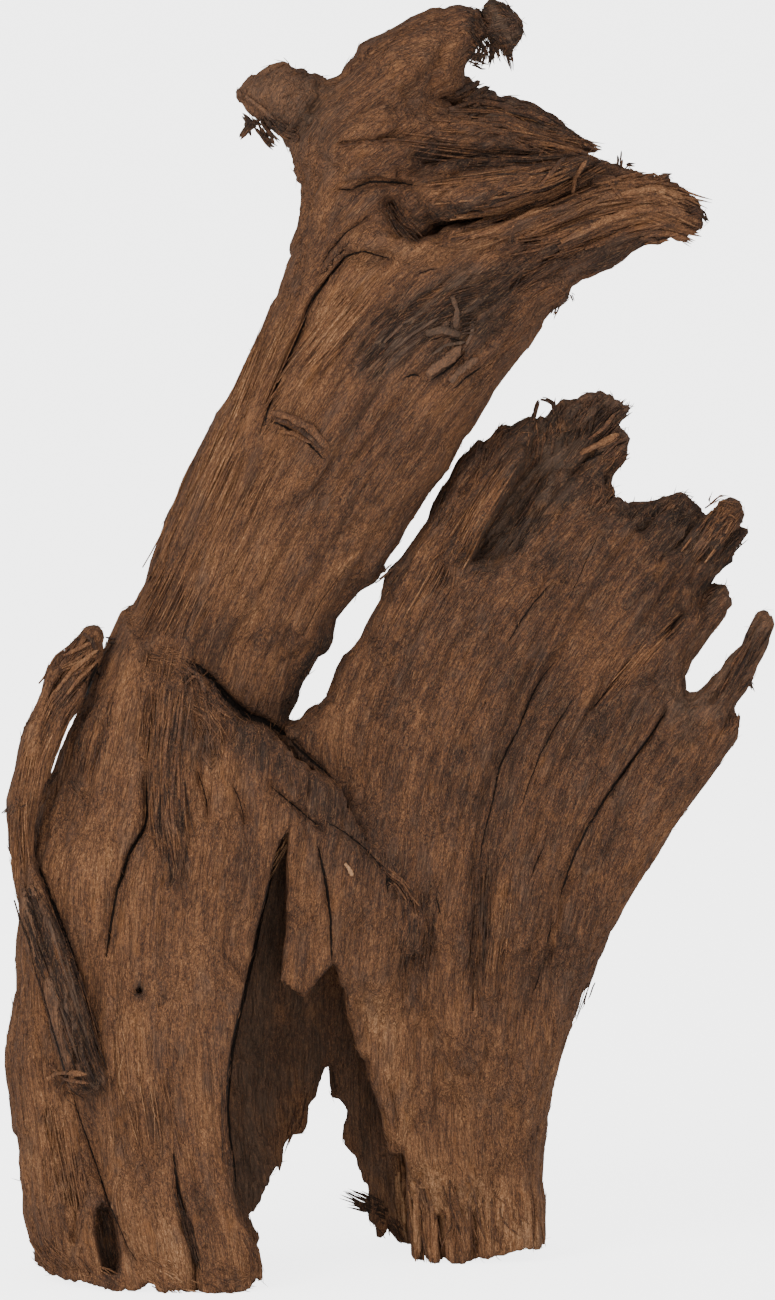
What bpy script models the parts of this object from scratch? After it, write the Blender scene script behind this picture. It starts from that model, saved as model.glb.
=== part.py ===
"""A piece of driftwood: one grown solid that stands on its two broken legs.

The wood is worked out as a field over a grid of small cells. Every limb is a
board: an outline drawn square to the view, and the depth of its front and
back surface at a few stations. The limbs run together, the hollow base and
the openings are taken out, and the skin of what is left becomes the mesh.
Depth grows away from the viewer, and the floor is at height 0.
"""
import math

import bpy
import numpy as np

# Driving dimensions, in millimetres
HEIGHT = 412.0
CELL = 2.4
TRIANGLES = 7600
WALL_BLEND = 5.0
LIMB_BLEND = 2.0
EDGE_BLEND = 1.2

# Rounded rims of the limbs and of what is cut out, and the thinnest half of a limb
TRUNK_RIM = 26.0
LEG_RIM = 20.0
FAN_RIM = 11.0
BUNDLE_RIM = 9.0
WALL_RIM = 7.0
LUMP_RIM = 6.0
SHEET_RIM = 5.0
HOLLOW_RIM = 9.0
OPENING_RIM = 3.0
THIN_HALF = 2.0
WALL_RIDGE_SHARE = 0.6
STATION_REACH = 34.0
STATION_CORE = 0.02
FAR_AWAY = 1e9

# The outlines are drawn in columns and rows, down from the highest point
TOP_ROW = 1.0
FLOOR_ROW = 1272.0
MIDDLE_COLUMN = 385.4
MIDDLE_DEPTH = 9.6
VIEW_TILT = math.radians(8.0)
STEP = HEIGHT * math.cos(VIEW_TILT) / (FLOOR_ROW - TOP_ROW)

# Limits of the grid, in millimetres: across, depth, drawn height
ACROSS = (-130.0, 132.0)
DEPTH = (-66.0, 80.0)
TALL = (-50.0, 418.0)

WOOD_COLOUR = (0.150, 0.068, 0.032, 1.0)
WOOD_ROUGHNESS = 0.9

# Trunk with its head: left knob, top knob and the branch to the right
TRUNK = [
    (235, 95), (245, 81), (263, 72), (284, 64), (307, 72), (328, 83), (340, 78),
    (350, 64), (361, 47), (380, 39), (406, 26), (430, 13), (450, 10), (470, 10),
    (480, 20), (484, 40), (474, 58), (464, 78), (470, 100), (505, 116),
    (545, 136), (584, 158), (612, 166), (641, 177), (667, 176), (684, 191),
    (697, 207), (701, 224), (684, 240), (651, 242), (629, 252), (612, 269),
    (581, 279), (565, 299), (543, 318), (515, 359), (489, 399), (461, 438),
    (445, 472), (416, 512), (387, 560), (350, 599), (331, 629), (318, 655),
    (297, 690), (288, 716), (300, 760), (290, 800), (235, 980), (100, 1000),
    (52, 850), (66, 768), (92, 690), (106, 648), (126, 611), (147, 585), (168, 518),
    (201, 449), (228, 400), (260, 337), (283, 288), (293, 247), (301, 200),
    (296, 168), (285, 139), (265, 124), (243, 105),
]
TRUNK_STATIONS = [
    (250, 90, -13, 14), (300, 105, -18, 20), (400, 50, -19, 22), (465, 30, -12, 16),
    (350, 150, -25, 26), (320, 220, -27, 27), (450, 180, -26, 26), (560, 215, -21, 21),
    (640, 205, -14, 13), (690, 215, -8, 9), (440, 300, -25, 27), (300, 400, -23, 28),
    (400, 450, -19, 28), (220, 560, -21, 28), (330, 600, -12, 26), (170, 680, -22, 28),
    (250, 690, -9, 28), (285, 740, 2, 28), (230, 740, -6, 30), (200, 820, -10, 30),
    (120, 800, -14, 26), (150, 960, -12, 27),
]

# Fibre bundle behind the branch
BUNDLE = [
    (440, 80), (464, 76), (483, 92), (499, 101), (517, 100), (543, 113),
    (569, 131), (590, 143), (598, 153), (585, 160), (560, 190), (480, 170), (440, 130),
]
BUNDLE_STATIONS = [(450, 100, 2, 26), (520, 130, 5, 24), (590, 150, 3, 15)]

# Lens shaped lump on the front of the branch
LUMP = [
    (414, 186), (418, 206), (430, 217), (460, 218), (494, 209), (530, 194),
    (566, 178), (590, 160), (548, 169), (512, 170), (480, 178), (440, 185),
]
LUMP_STATIONS = [
    (420, 200, -30, -12), (470, 196, -37, -10), (520, 184, -34, -10), (575, 168, -28, -8),
]

# Torn lobe that hangs on a bridge of fibres beside the top knob
LOBE = [
    (468, 30), (484, 28), (489, 24), (485, 9), (493, 1), (504, 8), (518, 20),
    (521, 36), (513, 54), (503, 62), (496, 48), (484, 46), (468, 50),
]
LOBE_STATIONS = [(475, 38, -2, 10), (505, 30, -3, 9)]

# Left leg, with the front layer whose torn upper edge folds over the trunk
LEFT_LEG = [
    (100, 662), (124, 612), (160, 636), (193, 664), (222, 697), (253, 726), (281, 745),
    (317, 775), (340, 793), (356, 826), (400, 876), (430, 914), (425, 956),
    (360, 936), (340, 980), (310, 1010), (290, 1060), (280, 1140), (290, 1240),
    (290, 1400), (40, 1400), (34, 1250), (24, 1195), (11, 1132), (6, 1060),
    (14, 1010), (18, 960), (20, 900), (27, 855), (38, 818), (57, 775), (72, 735),
    (88, 695),
]
LEFT_LEG_STATIONS = [
    (120, 650, -21, 24), (60, 760, -22, 8), (150, 720, -25, 24), (205, 690, -27, -9),
    (240, 740, -28, -17), (290, 785, -28, -19), (335, 812, -25, -13), (180, 780, -30, 12),
    (200, 860, -35, 27), (100, 900, -34, 26), (285, 850, -28, -17), (50, 1000, -31, 24),
    (150, 1050, -41, 28), (225, 1040, -38, 20), (40, 1150, -30, 24), (120, 1240, -46, 28),
    (210, 1260, -47, 24), (45, 1240, -32, 20), (345, 860, -23, -10), (400, 905, -16, -2),
    (300, 950, -20, -12),
]

# Strap of torn wood along the outer side of the left leg
STRAP = [
    (103, 636), (96, 628), (82, 637), (59, 654), (45, 688), (27, 727), (21, 757),
    (13, 790), (10, 828), (13, 865), (19, 905), (26, 935), (36, 973), (48, 1010),
    (61, 1053), (71, 1090), (97, 1091), (108, 1081), (96, 1048), (87, 1010),
    (76, 975), (64, 937), (50, 898), (34, 868), (28, 840), (32, 805), (40, 770),
    (50, 745), (63, 718), (80, 698), (94, 672), (104, 650),
]
STRAP_STATIONS = [
    (90, 645, -18, -4), (60, 690, -23, -10), (30, 760, -26, -14), (20, 850, -30, -14),
    (35, 940, -37, -20), (65, 1010, -45, -28), (90, 1080, -47, -32),
]

# Fan with the right leg below it, and the tongue beside the front opening
FAN = [
    (292, 722), (309, 710), (328, 698), (338, 669), (361, 637), (381, 600),
    (400, 561), (422, 527), (442, 489), (470, 452), (482, 438), (501, 426),
    (514, 429), (528, 417), (537, 400), (551, 408), (562, 400), (590, 393),
    (608, 394), (630, 406), (618, 426), (630, 446), (616, 468), (610, 490),
    (632, 504), (660, 500), (683, 496), (702, 508), (718, 510), (729, 498),
    (741, 512), (746, 534), (729, 558), (711, 584), (727, 593), (729, 604),
    (715, 628), (698, 650), (686, 672), (684, 690), (694, 694), (714, 673),
    (736, 652), (754, 621), (766, 612), (774, 625), (763, 655), (751, 682),
    (736, 708), (736, 727), (716, 764), (680, 814), (655, 855), (620, 905),
    (597, 960), (575, 1018), (557, 1076), (546, 1121), (541, 1185), (546, 1240),
    (548, 1400), (380, 1400), (376, 1240), (366, 1150), (336, 1070), (312, 1000),
    (284, 968), (288, 900), (291, 826), (330, 800), (300, 768), (278, 738), (284, 722),
]
FAN_STATIONS = [
    (320, 740, -1, 24), (345, 680, 0, 20), (400, 600, -4, 18), (470, 470, 0, 16),
    (520, 440, 2, 14), (590, 410, 0, 13), (620, 440, 0, 12), (500, 600, -9, 16),
    (600, 560, -7, 14), (680, 520, -3, 12), (735, 520, -4, 7), (700, 600, -6, 10),
    (765, 640, -8, 3), (725, 720, -7, 8), (650, 750, -10, 14), (550, 780, -13, 18),
    (430, 760, -10, 24), (600, 900, -8, 22), (500, 900, -15, 30), (420, 880, -14, 34),
    (340, 870, -18, 44), (460, 1000, -10, 44), (560, 1000, -1, 38), (400, 1050, -3, 50),
    (460, 1150, 4, 58), (540, 1200, 13, 54), (420, 1240, 13, 64), (490, 1250, 12, 66),
    (340, 950, -17, 48),
]

# Back wall of the hollow base, with its own notch
BACK_WALL = [
    (170, 720), (286, 744), (330, 752), (400, 740), (470, 880), (470, 1100),
    (460, 1400), (404, 1400), (388, 1240), (368, 1205), (352, 1164), (343, 1140), (346, 1116), (330, 1098),
    (327, 1072), (312, 1102), (306, 1134), (290, 1147), (281, 1178), (263, 1196),
    (257, 1236), (258, 1400), (160, 1400), (130, 1000), (130, 850),
]
BACK_WALL_STATIONS = [
    (230, 720, 10, 29), (380, 740, 8, 24), (160, 900, 10, 27), (260, 820, 22, 36),
    (220, 1000, 28, 39), (150, 1200, 14, 27), (220, 1250, 24, 36), (340, 900, 34, 48),
    (330, 1060, 40, 52), (400, 1000, 40, 53), (440, 1240, 50, 64), (270, 1180, 33, 45),
    (450, 900, 20, 40),
]

# Hollow inside the base: behind the front walls, in front of the back wall
HOLLOW = [
    (300, 806), (345, 850), (380, 930), (402, 1020), (430, 1120), (442, 1200),
    (446, 1410), (212, 1410), (206, 1200), (196, 1100), (206, 1000), (232, 915), (266, 850),
]
HOLLOW_STATIONS = [
    (240, 1000, -25, 30), (230, 1230, -30, 28), (400, 1000, 4, 40), (425, 1220, 24, 52),
    (340, 910, -6, 36), (295, 850, -14, 28), (330, 1060, -6, 40), (330, 1250, 0, 44),
]

# Front opening, from its apex down to the floor between the legs
OPENING = [
    (291, 826), (289, 878), (287, 932), (284, 968), (296, 990), (305, 995),
    (324, 970), (333, 962), (340, 971), (348, 1004), (360, 1048), (372, 1075),
    (386, 1114), (392, 1153), (409, 1160), (411, 1240), (412, 1410), (257, 1410),
    (256, 1250), (239, 1218), (229, 1179), (223, 1118), (228, 1057), (244, 973),
    (262, 899), (278, 840),
]
OPENING_STATIONS = [(290, 900, -90, 26), (300, 1100, -90, 34), (400, 1200, -90, 44)]

# Relief: (path of columns and rows, half width, depth), hollow where positive
TRUNK_RELIEF = [
    ([(392, 208), (402, 226), (418, 238), (436, 236)], 3.4, 10.0),
    ([(432, 226), (480, 221), (520, 206), (556, 191), (592, 171)], 2.8, 12.0),
    ([(498, 228), (530, 215), (586, 191)], 2.4, 5.0),
    ([(190, 664), (212, 680), (236, 706), (262, 722), (288, 740)], 2.8, 5.0),
    ([(420, 160), (458, 157), (500, 160), (530, 152)], 4.5, 8.0),
    ([(520, 226), (560, 206), (610, 192), (650, 188)], 2.6, 6.0),
    ([(510, 262), (560, 236), (620, 222)], 2.8, 5.0),
    ([(388, 260), (345, 259), (328, 281), (303, 327), (272, 401)], 2.8, 4.0),
    ([(300, 112), (316, 126), (300, 134)], 3.0, 4.0),
    ([(370, 350), (430, 310), (480, 296)], 7.0, 2.5),
    ([(345, 235), (400, 250), (470, 245), (540, 222)], 4.0, -4.0),
    ([(420, 90), (390, 60), (400, 40)], 4.0, -3.0),
]
FAN_RELIEF = [
    ([(545, 470), (524, 500), (500, 536), (470, 568)], 4.8, 9.0),
    ([(532, 424), (508, 462), (484, 512), (452, 560)], 3.4, -4.5),
    ([(556, 408), (552, 436), (540, 462)], 3.4, 6.0),
    ([(612, 412), (596, 436), (576, 466)], 3.6, 6.0),
    ([(738, 540), (722, 570), (706, 600)], 3.4, 5.0),
    ([(720, 532), (700, 566), (684, 604)], 3.4, -3.5),
    ([(683, 614), (650, 650), (619, 674), (593, 708)], 3.2, 3.2),
    ([(666, 711), (629, 764), (598, 819), (560, 903), (540, 985)], 3.2, 3.6),
    ([(640, 700), (600, 770), (570, 850)], 6.0, -2.4),
    ([(555, 661), (507, 753), (485, 826), (479, 930)], 4.5, 2.6),
    ([(560, 600), (505, 690), (470, 780)], 6.0, -2.6),
    ([(430, 900), (420, 1000), (440, 1100)], 5.0, 3.0),
]
LEG_RELIEF = [
    ([(147, 780), (146, 825), (124, 872), (107, 955)], 2.8, 3.6),
    ([(71, 1087), (100, 1174), (139, 1262)], 3.0, 4.0),
    ([(170, 1147), (187, 1220), (206, 1380)], 3.6, 7.0),
    ([(103, 1204), (108, 1240), (110, 1380)], 3.8, 8.0),
    ([(180, 690), (166, 760), (172, 860)], 5.0, -2.6),
    ([(215, 680), (265, 735), (330, 790)], 3.4, -3.0),
    ([(40, 1010), (60, 1090), (70, 1200)], 5.0, 2.6),
    ([(200, 960), (190, 1060), (200, 1140)], 8.0, -2.4),
]

# Direction of the grain: (column, row, degrees of lean to the right)
GRAIN = [
    (140, 1250, -18), (40, 1150, -8), (240, 1200, -10), (130, 1000, 2), (130, 850, 13),
    (250, 950, 12), (180, 600, 27), (300, 400, 27), (330, 250, 38), (300, 180, 5),
    (270, 90, -50), (400, 50, 30), (370, 190, 80), (450, 190, 76), (560, 190, 68),
    (660, 210, 76), (460, 300, 55), (450, 400, 36), (480, 540, 30), (570, 450, 30),
    (700, 540, 44), (760, 640, 36), (683, 614, 38), (610, 650, 34), (560, 720, 27),
    (500, 760, 14), (640, 780, 36), (690, 780, 38), (560, 900, 20), (520, 1020, 8),
    (480, 900, 8), (360, 680, 24), (310, 760, -40), (330, 900, -7), (380, 1000, -14),
    (440, 1180, -6), (520, 1200, -2), (60, 1050, -20), (30, 900, 0), (60, 700, 25),
]
GRAIN_REACH = 22.0

# Ridges along the grain: (size across, size along, height, seed)
RIDGES = [(11.0, 90.0, 1.5, 11), (5.5, 46.0, 0.7, 23)]
BACK_RIDGES = [(15.0, 80.0, 3.2, 31), (7.0, 50.0, 1.4, 47)]
LATTICE = 64

# How deep a filled corner lies in the wood, and how often the filling is repeated
FILLED = -0.05
FILLING_ROUNDS = 12


def drawn(points):
    """Columns and rows as millimetres across and up, times the other values."""
    table = np.array(points, float)
    table[:, 0] = (table[:, 0] - MIDDLE_COLUMN) * STEP
    table[:, 1] = (FLOOR_ROW - table[:, 1]) * STEP
    return table


def distance_to_path(path):
    """Distance of every grid point from a path, as the least over its segments."""
    best = np.full(X.shape, FAR_AWAY)
    for (ax, az), (bx, bz) in zip(path[:-1], path[1:]):
        dx, dz = bx - ax, bz - az
        t = np.clip(((X - ax) * dx + (V - az) * dz) / (dx * dx + dz * dz), 0.0, 1.0)
        best = np.minimum(best, np.hypot(X - ax - t * dx, V - az - t * dz))
    return best


def distance_to_outline(outline):
    """Signed distance from a closed outline, below nought inside it."""
    ring = drawn(outline)
    closed = np.vstack([ring, ring[:1]])
    inside = np.zeros(X.shape, bool)
    for (ax, az), (bx, bz) in zip(closed[:-1], closed[1:]):
        if az != bz:
            crosses = (az > V) != (bz > V)
            inside ^= crosses & (X < ax + (V - az) * (bx - ax) / (bz - az))
    return np.where(inside, -1.0, 1.0) * distance_to_path(closed)


def spread(stations):
    """Values of the stations spread over the grid, weighted by nearness."""
    total = np.zeros(X.shape)
    values = [np.zeros(X.shape) for _ in stations[0][2:]]
    for x, v, *given in drawn(stations):
        away = np.hypot(X - x, V - v) / STATION_REACH
        weight = 1.0 / (STATION_CORE + away ** 3)
        total += weight
        for value, number in zip(values, given):
            value += weight * number
    return [value / total for value in values]


def relief(paths):
    """Depth taken off a front surface: a bell over the distance from each path."""
    depth = np.zeros(X.shape)
    for path, width, deep in paths:
        depth += deep * np.exp(-(distance_to_path(drawn(path)) / width) ** 2)
    return depth


def grain_coordinates():
    """Across and along the grain, whose slopes best fit the leaning directions."""
    sine, cosine = np.zeros(X.shape), np.zeros(X.shape)
    for x, v, lean in drawn(GRAIN):
        weight = np.exp(-(np.hypot(X - x, V - v) / GRAIN_REACH)) + 1e-6
        sine += weight * math.sin(math.radians(lean))
        cosine += weight * math.cos(math.radians(lean))
    size = np.hypot(sine, cosine)
    sine, cosine = sine / size, cosine / size
    return potential(cosine, -sine), potential(sine, cosine)


def potential(slope_x, slope_v):
    """Height whose slopes come nearest to the two given, by Fourier sums."""
    wave_x = np.fft.fftfreq(2 * X.shape[0])[:, None] * 2.0 * math.pi
    wave_v = np.fft.fftfreq(2 * X.shape[1])[None, :] * 2.0 * math.pi
    mean_x, mean_v = slope_x.mean(), slope_v.mean()
    double_x = mirrored(slope_x - mean_x, -1.0, 1.0)
    double_v = mirrored(slope_v - mean_v, 1.0, -1.0)
    square = wave_x ** 2 + wave_v ** 2
    square[0, 0] = 1.0
    turned = 1j * (wave_x * np.fft.fft2(double_x) + wave_v * np.fft.fft2(double_v))
    height = np.real(np.fft.ifft2(-turned / square))[:X.shape[0], :X.shape[1]] * CELL
    return height + mean_x * X + mean_v * V


def mirrored(grid, sign_x, sign_v):
    """The grid with its mirror images beside and above it."""
    wide = np.vstack([grid, sign_x * grid[::-1]])
    return np.hstack([wide, sign_v * wide[:, ::-1]])


def ripple(across, along, sizes):
    """Long ridges: smooth seeded noise, stretched along the grain."""
    total = np.zeros(across.shape)
    for wide, long, height, seed in sizes:
        lattice = np.random.default_rng(seed).uniform(-1.0, 1.0, (LATTICE, LATTICE))
        a, b = across / wide, along / long
        i, j = np.floor(a).astype(int), np.floor(b).astype(int)
        s, t = a - i, b - j
        s, t = s * s * (3.0 - 2.0 * s), t * t * (3.0 - 2.0 * t)
        left, right = i % LATTICE, (i + 1) % LATTICE
        lower, upper = j % LATTICE, (j + 1) % LATTICE
        low = lattice[left, lower] * (1 - s) + lattice[right, lower] * s
        high = lattice[left, upper] * (1 - s) + lattice[right, upper] * s
        total += height * (low * (1.0 - t) + high * t)
    return total


def board(outline, stations, rim, front_relief=0.0, back_relief=0.0):
    """Field of one limb: an ellipse across its rim, from its front to its back."""
    edge = distance_to_outline(outline)
    front, back = spread(stations)
    middle = (front + back) * 0.5
    near = np.maximum(middle - front - front_relief, THIN_HALF)
    far = np.maximum(back - middle - back_relief, THIN_HALF)
    inward = (np.maximum(edge + rim, 0.0) / rim)[:, None, :]
    offset = Y - middle[:, None, :]
    half = np.where(offset < 0.0, near[:, None, :], far[:, None, :])
    return (np.sqrt(inward ** 2 + (offset / half) ** 2) - 1.0) * np.minimum(half, rim)


def join(one, other, radius):
    """The nearer of two fields, rounded where they meet."""
    mix = np.clip(0.5 + 0.5 * (other - one) / radius, 0.0, 1.0)
    return other * (1.0 - mix) + one * mix - radius * mix * (1.0 - mix)


def wood_field():
    """All limbs run together, less the hollow base and the openings."""
    across, along = grain_coordinates()
    front = ripple(across, along, RIDGES)
    back = ripple(across, along, BACK_RIDGES)
    field = board(TRUNK, TRUNK_STATIONS, TRUNK_RIM, front + relief(TRUNK_RELIEF), back)
    bundle = board(BUNDLE, BUNDLE_STATIONS, BUNDLE_RIM, front, back)
    field = join(field, bundle, LIMB_BLEND)
    field = join(field, board(LUMP, LUMP_STATIONS, LUMP_RIM, front), EDGE_BLEND)
    field = join(field, board(LOBE, LOBE_STATIONS, SHEET_RIM), EDGE_BLEND)
    leg = board(LEFT_LEG, LEFT_LEG_STATIONS, LEG_RIM, front + relief(LEG_RELIEF), back)
    field = join(field, leg, LIMB_BLEND)
    wall = board(BACK_WALL, BACK_WALL_STATIONS, WALL_RIM, 0.0, WALL_RIDGE_SHARE * back)
    field = join(field, wall, WALL_BLEND)
    fan = board(FAN, FAN_STATIONS, FAN_RIM, front + relief(FAN_RELIEF), back)
    field = join(field, fan, LIMB_BLEND)
    field = join(field, board(STRAP, STRAP_STATIONS, SHEET_RIM, front), EDGE_BLEND)
    hollow = board(HOLLOW, HOLLOW_STATIONS, HOLLOW_RIM)
    hollow = join(hollow, board(OPENING, OPENING_STATIONS, OPENING_RIM), EDGE_BLEND)
    return -join(-field, hollow, EDGE_BLEND)


def rest_height(depth, height):
    """Height above the floor of a point drawn at this depth and height."""
    return height / math.cos(VIEW_TILT) - depth * math.tan(VIEW_TILT)


def softened(field):
    """The field with each point averaged a little with its neighbours."""
    for axis in range(3):
        near = np.roll(field, 1, axis) + np.roll(field, -1, axis)
        field = 0.5 * field + 0.25 * near
    return field


def settled(field):
    """Fills the cell faces whose corners are wood only across one diagonal.

    The skin would touch itself along an edge there, so the open corner that
    lies nearest to the wood becomes wood. Filling one may make another.
    """
    for _ in range(FILLING_ROUNDS):
        changed = 0
        for one, two in [(0, 1), (1, 2), (2, 0)]:
            grid = np.moveaxis(field, (one, two), (0, 1))
            square = [grid[:-1, :-1], grid[1:, :-1], grid[1:, 1:], grid[:-1, 1:]]
            wood = [corner < 0.0 for corner in square]
            for first in (0, 1):
                second, third, fourth = first + 1, first + 2, (first + 3) % 4
                cross = wood[first] & wood[third] & ~wood[second] & ~wood[fourth]
                nearer = square[second] <= square[fourth]
                square[second][cross & nearer] = FILLED
                square[fourth][cross & ~nearer] = FILLED
                changed += int(cross.sum())
        if changed == 0:
            break
    return field


def skin(field):
    """Surface of the field: a point in each crossed cell, a face on each crossed edge."""
    solid = field < 0.0
    count = np.zeros(tuple(n - 1 for n in field.shape), np.int8)
    corners = [(a, b, c) for a in (0, 1) for b in (0, 1) for c in (0, 1)]
    shape = field.shape
    for a, b, c in corners:
        count += solid[a:shape[0] - 1 + a, b:shape[1] - 1 + b, c:shape[2] - 1 + c]
    cells = np.argwhere((count > 0) & (count < 8))
    number = np.full(count.shape, -1)
    number[tuple(cells.T)] = np.arange(len(cells))
    total, hits = np.zeros((len(cells), 3)), np.zeros(len(cells))
    for corner in corners:
        for axis in range(3):
            if corner[axis] == 0:
                start = cells + corner
                end = start + np.eye(3, dtype=int)[axis]
                one, other = field[tuple(start.T)], field[tuple(end.T)]
                crossed = (one < 0.0) != (other < 0.0)
                part = np.where(crossed, one / np.where(crossed, one - other, 1.0), 0.0)
                point = start + part[:, None] * np.eye(3)[axis]
                total += point * crossed[:, None]
                hits += crossed
    points = total / hits[:, None]
    faces = []
    for axis in range(3):
        one, two = [(1, 2), (2, 0), (0, 1)][axis]
        step = np.eye(3, dtype=int)
        low = np.argwhere(np.diff(solid, axis=axis))
        low = low[(low[:, one] > 0) & (low[:, two] > 0)]
        ring = [low - step[one] - step[two], low - step[two], low, low - step[one]]
        quad = np.stack([number[tuple(corner.T)] for corner in ring], axis=1)
        outward = solid[tuple(low.T)]
        quad[~outward] = quad[~outward][:, ::-1]
        faces.append(quad)
    return points, np.vstack(faces)


def place(points):
    """Grid points as metres: across, depth and height above the floor."""
    across = ACROSS[0] + points[:, 0] * CELL
    depth = DEPTH[0] + points[:, 1] * CELL
    height = rest_height(depth, TALL[0] + points[:, 2] * CELL)
    return np.column_stack([across, depth - MIDDLE_DEPTH, height]) * 0.001


def wood_material():
    """Dull brown wood."""
    material = bpy.data.materials.new("wood")
    material.use_nodes = True
    shader = material.node_tree.nodes["Principled BSDF"]
    shader.inputs["Base Color"].default_value = WOOD_COLOUR
    shader.inputs["Roughness"].default_value = WOOD_ROUGHNESS
    shader.inputs["Metallic"].default_value = 0.0
    return material


def floor_block():
    """Block below the floor, which cuts the feet off flat."""
    bpy.ops.mesh.primitive_cube_add(size=1.0, location=(0.0, 0.0, -0.5))
    block = bpy.context.object
    block.name = "below the floor"
    block.hide_render = True
    block.display_type = "WIRE"
    return block


for old in list(bpy.data.objects):
    bpy.data.objects.remove(old)

x_line = np.arange(ACROSS[0], ACROSS[1], CELL)
y_line = np.arange(DEPTH[0], DEPTH[1], CELL)
v_line = np.arange(TALL[0], TALL[1], CELL)
X, V = np.meshgrid(x_line, v_line, indexing="ij")
Y = y_line[None, :, None]

corner_points, quads = skin(settled(softened(wood_field())))
mesh = bpy.data.meshes.new("driftwood")
mesh.from_pydata(place(corner_points).tolist(), [], quads.tolist())
driftwood = bpy.data.objects.new("driftwood", mesh)
bpy.context.scene.collection.objects.link(driftwood)
driftwood.data.materials.append(wood_material())
thin = driftwood.modifiers.new("fewer faces", "DECIMATE")
thin.ratio = TRIANGLES / (2.0 * len(quads))
thin.use_collapse_triangulate = True
feet = driftwood.modifiers.new("flat feet", "BOOLEAN")
feet.operation = "DIFFERENCE"
feet.solver = "EXACT"
feet.object = floor_block()
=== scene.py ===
import math

import bpy
import numpy as np
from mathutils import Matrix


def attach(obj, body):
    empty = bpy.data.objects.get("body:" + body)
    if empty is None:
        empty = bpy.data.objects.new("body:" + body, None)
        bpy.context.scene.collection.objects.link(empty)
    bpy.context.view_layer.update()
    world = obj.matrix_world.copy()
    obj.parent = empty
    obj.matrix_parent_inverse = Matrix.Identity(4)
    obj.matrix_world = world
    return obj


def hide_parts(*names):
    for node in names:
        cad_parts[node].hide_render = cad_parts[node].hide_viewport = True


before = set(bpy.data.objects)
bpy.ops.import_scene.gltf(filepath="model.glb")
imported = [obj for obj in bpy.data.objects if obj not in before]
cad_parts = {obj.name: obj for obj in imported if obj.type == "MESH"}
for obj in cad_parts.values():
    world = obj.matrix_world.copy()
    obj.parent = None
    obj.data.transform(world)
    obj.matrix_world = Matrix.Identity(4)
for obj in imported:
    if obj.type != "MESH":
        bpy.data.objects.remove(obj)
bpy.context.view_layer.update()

# The wood itself: one piece of grown, water-worn wood, broken off at both legs.
# Every limb is a board with an outline drawn square to the view and a front and
# a back depth at a few stations. The limbs run together and the hollow is cut out.
CELL = 0.85
SKIN_TRIANGLES = 196000
# The drawings are in columns and rows, seen from the front and 8 degrees above. The
# height of the wood, in millimetres, gives them their scale.
TILT = math.radians(8.0)
TOP_ROW, FLOOR_ROW = 1.0, 1272.0
MIDDLE_COLUMN, MIDDLE_DEPTH = 385.4, 9.6
WOOD_TALL = 412.0
STEP = WOOD_TALL * math.cos(TILT) / (FLOOR_ROW - TOP_ROW)
# The space that the wood is worked out in, millimetres
ACROSS = (-127.0, 128.0)
DEPTH = (-54.0, 72.0)
TALL = (-14.0, 415.0)

x_line = np.arange(ACROSS[0], ACROSS[1], CELL)
y_line = np.arange(DEPTH[0], DEPTH[1], CELL)
v_line = np.arange(TALL[0], TALL[1], CELL)
X, V = [grid.astype(np.float32) for grid in np.meshgrid(x_line, v_line, indexing="ij")]
Y = y_line.astype(np.float32)[None, :, None]


def drawn(points):
    """Columns and rows of a drawing as millimetres across and up."""
    table = np.array(points, np.float32)
    table[:, 0] = (table[:, 0] - MIDDLE_COLUMN) * STEP
    table[:, 1] = (FLOOR_ROW - table[:, 1]) * STEP
    return table


def to_segment(ax, az, bx, bz):
    """Share of a segment at which it comes nearest to each grid point, and how near."""
    dx, dz = bx - ax, bz - az
    t = np.clip(((X - ax) * dx + (V - az) * dz) / (dx * dx + dz * dz), 0.0, 1.0)
    return t, np.hypot(X - ax - t * dx, V - az - t * dz)


def distance_to_path(path):
    """Distance of every grid point from a path: the least over its segments."""
    best = np.full(X.shape, np.inf, np.float32)
    for start, end in zip(path[:-1], path[1:]):
        best = np.minimum(best, to_segment(*start, *end)[1])
    return best


def distance_to_outline(outline):
    """Signed distance from a closed outline, below nought inside it."""
    ring = drawn(outline)
    closed = np.vstack([ring, ring[:1]])
    inside = np.zeros(X.shape, bool)
    for (ax, az), (bx, bz) in zip(closed[:-1], closed[1:]):
        if az != bz:
            crosses = (az > V) != (bz > V)
            inside ^= crosses & (X < ax + (V - az) * (bx - ax) / (bz - az))
    return np.where(inside, -1.0, 1.0).astype(np.float32) * distance_to_path(closed)


STATION_REACH, STATION_CORE = 34.0, 0.02


def spread(stations):
    """Values of the stations over the grid, each weighted by its nearness.

    The weight is one over the cube of the distance in reaches, with a small core
    added that keeps it finite at the station itself.
    """
    total = np.zeros(X.shape, np.float32)
    values = [np.zeros(X.shape, np.float32) for _ in stations[0][2:]]
    for x, v, *given in drawn(stations):
        weight = 1.0 / (STATION_CORE + (np.hypot(X - x, V - v) / STATION_REACH) ** 3)
        total += weight
        for value, number in zip(values, given):
            value += weight * number
    return [value / total for value in values]


def relief(paths):
    """Depth taken off a front: the sum of the bells over the distances from paths."""
    depth = np.zeros(X.shape, np.float32)
    for path, width, deep in paths:
        depth += deep * np.exp(-(distance_to_path(drawn(path)) / width) ** 2)
    return depth


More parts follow.
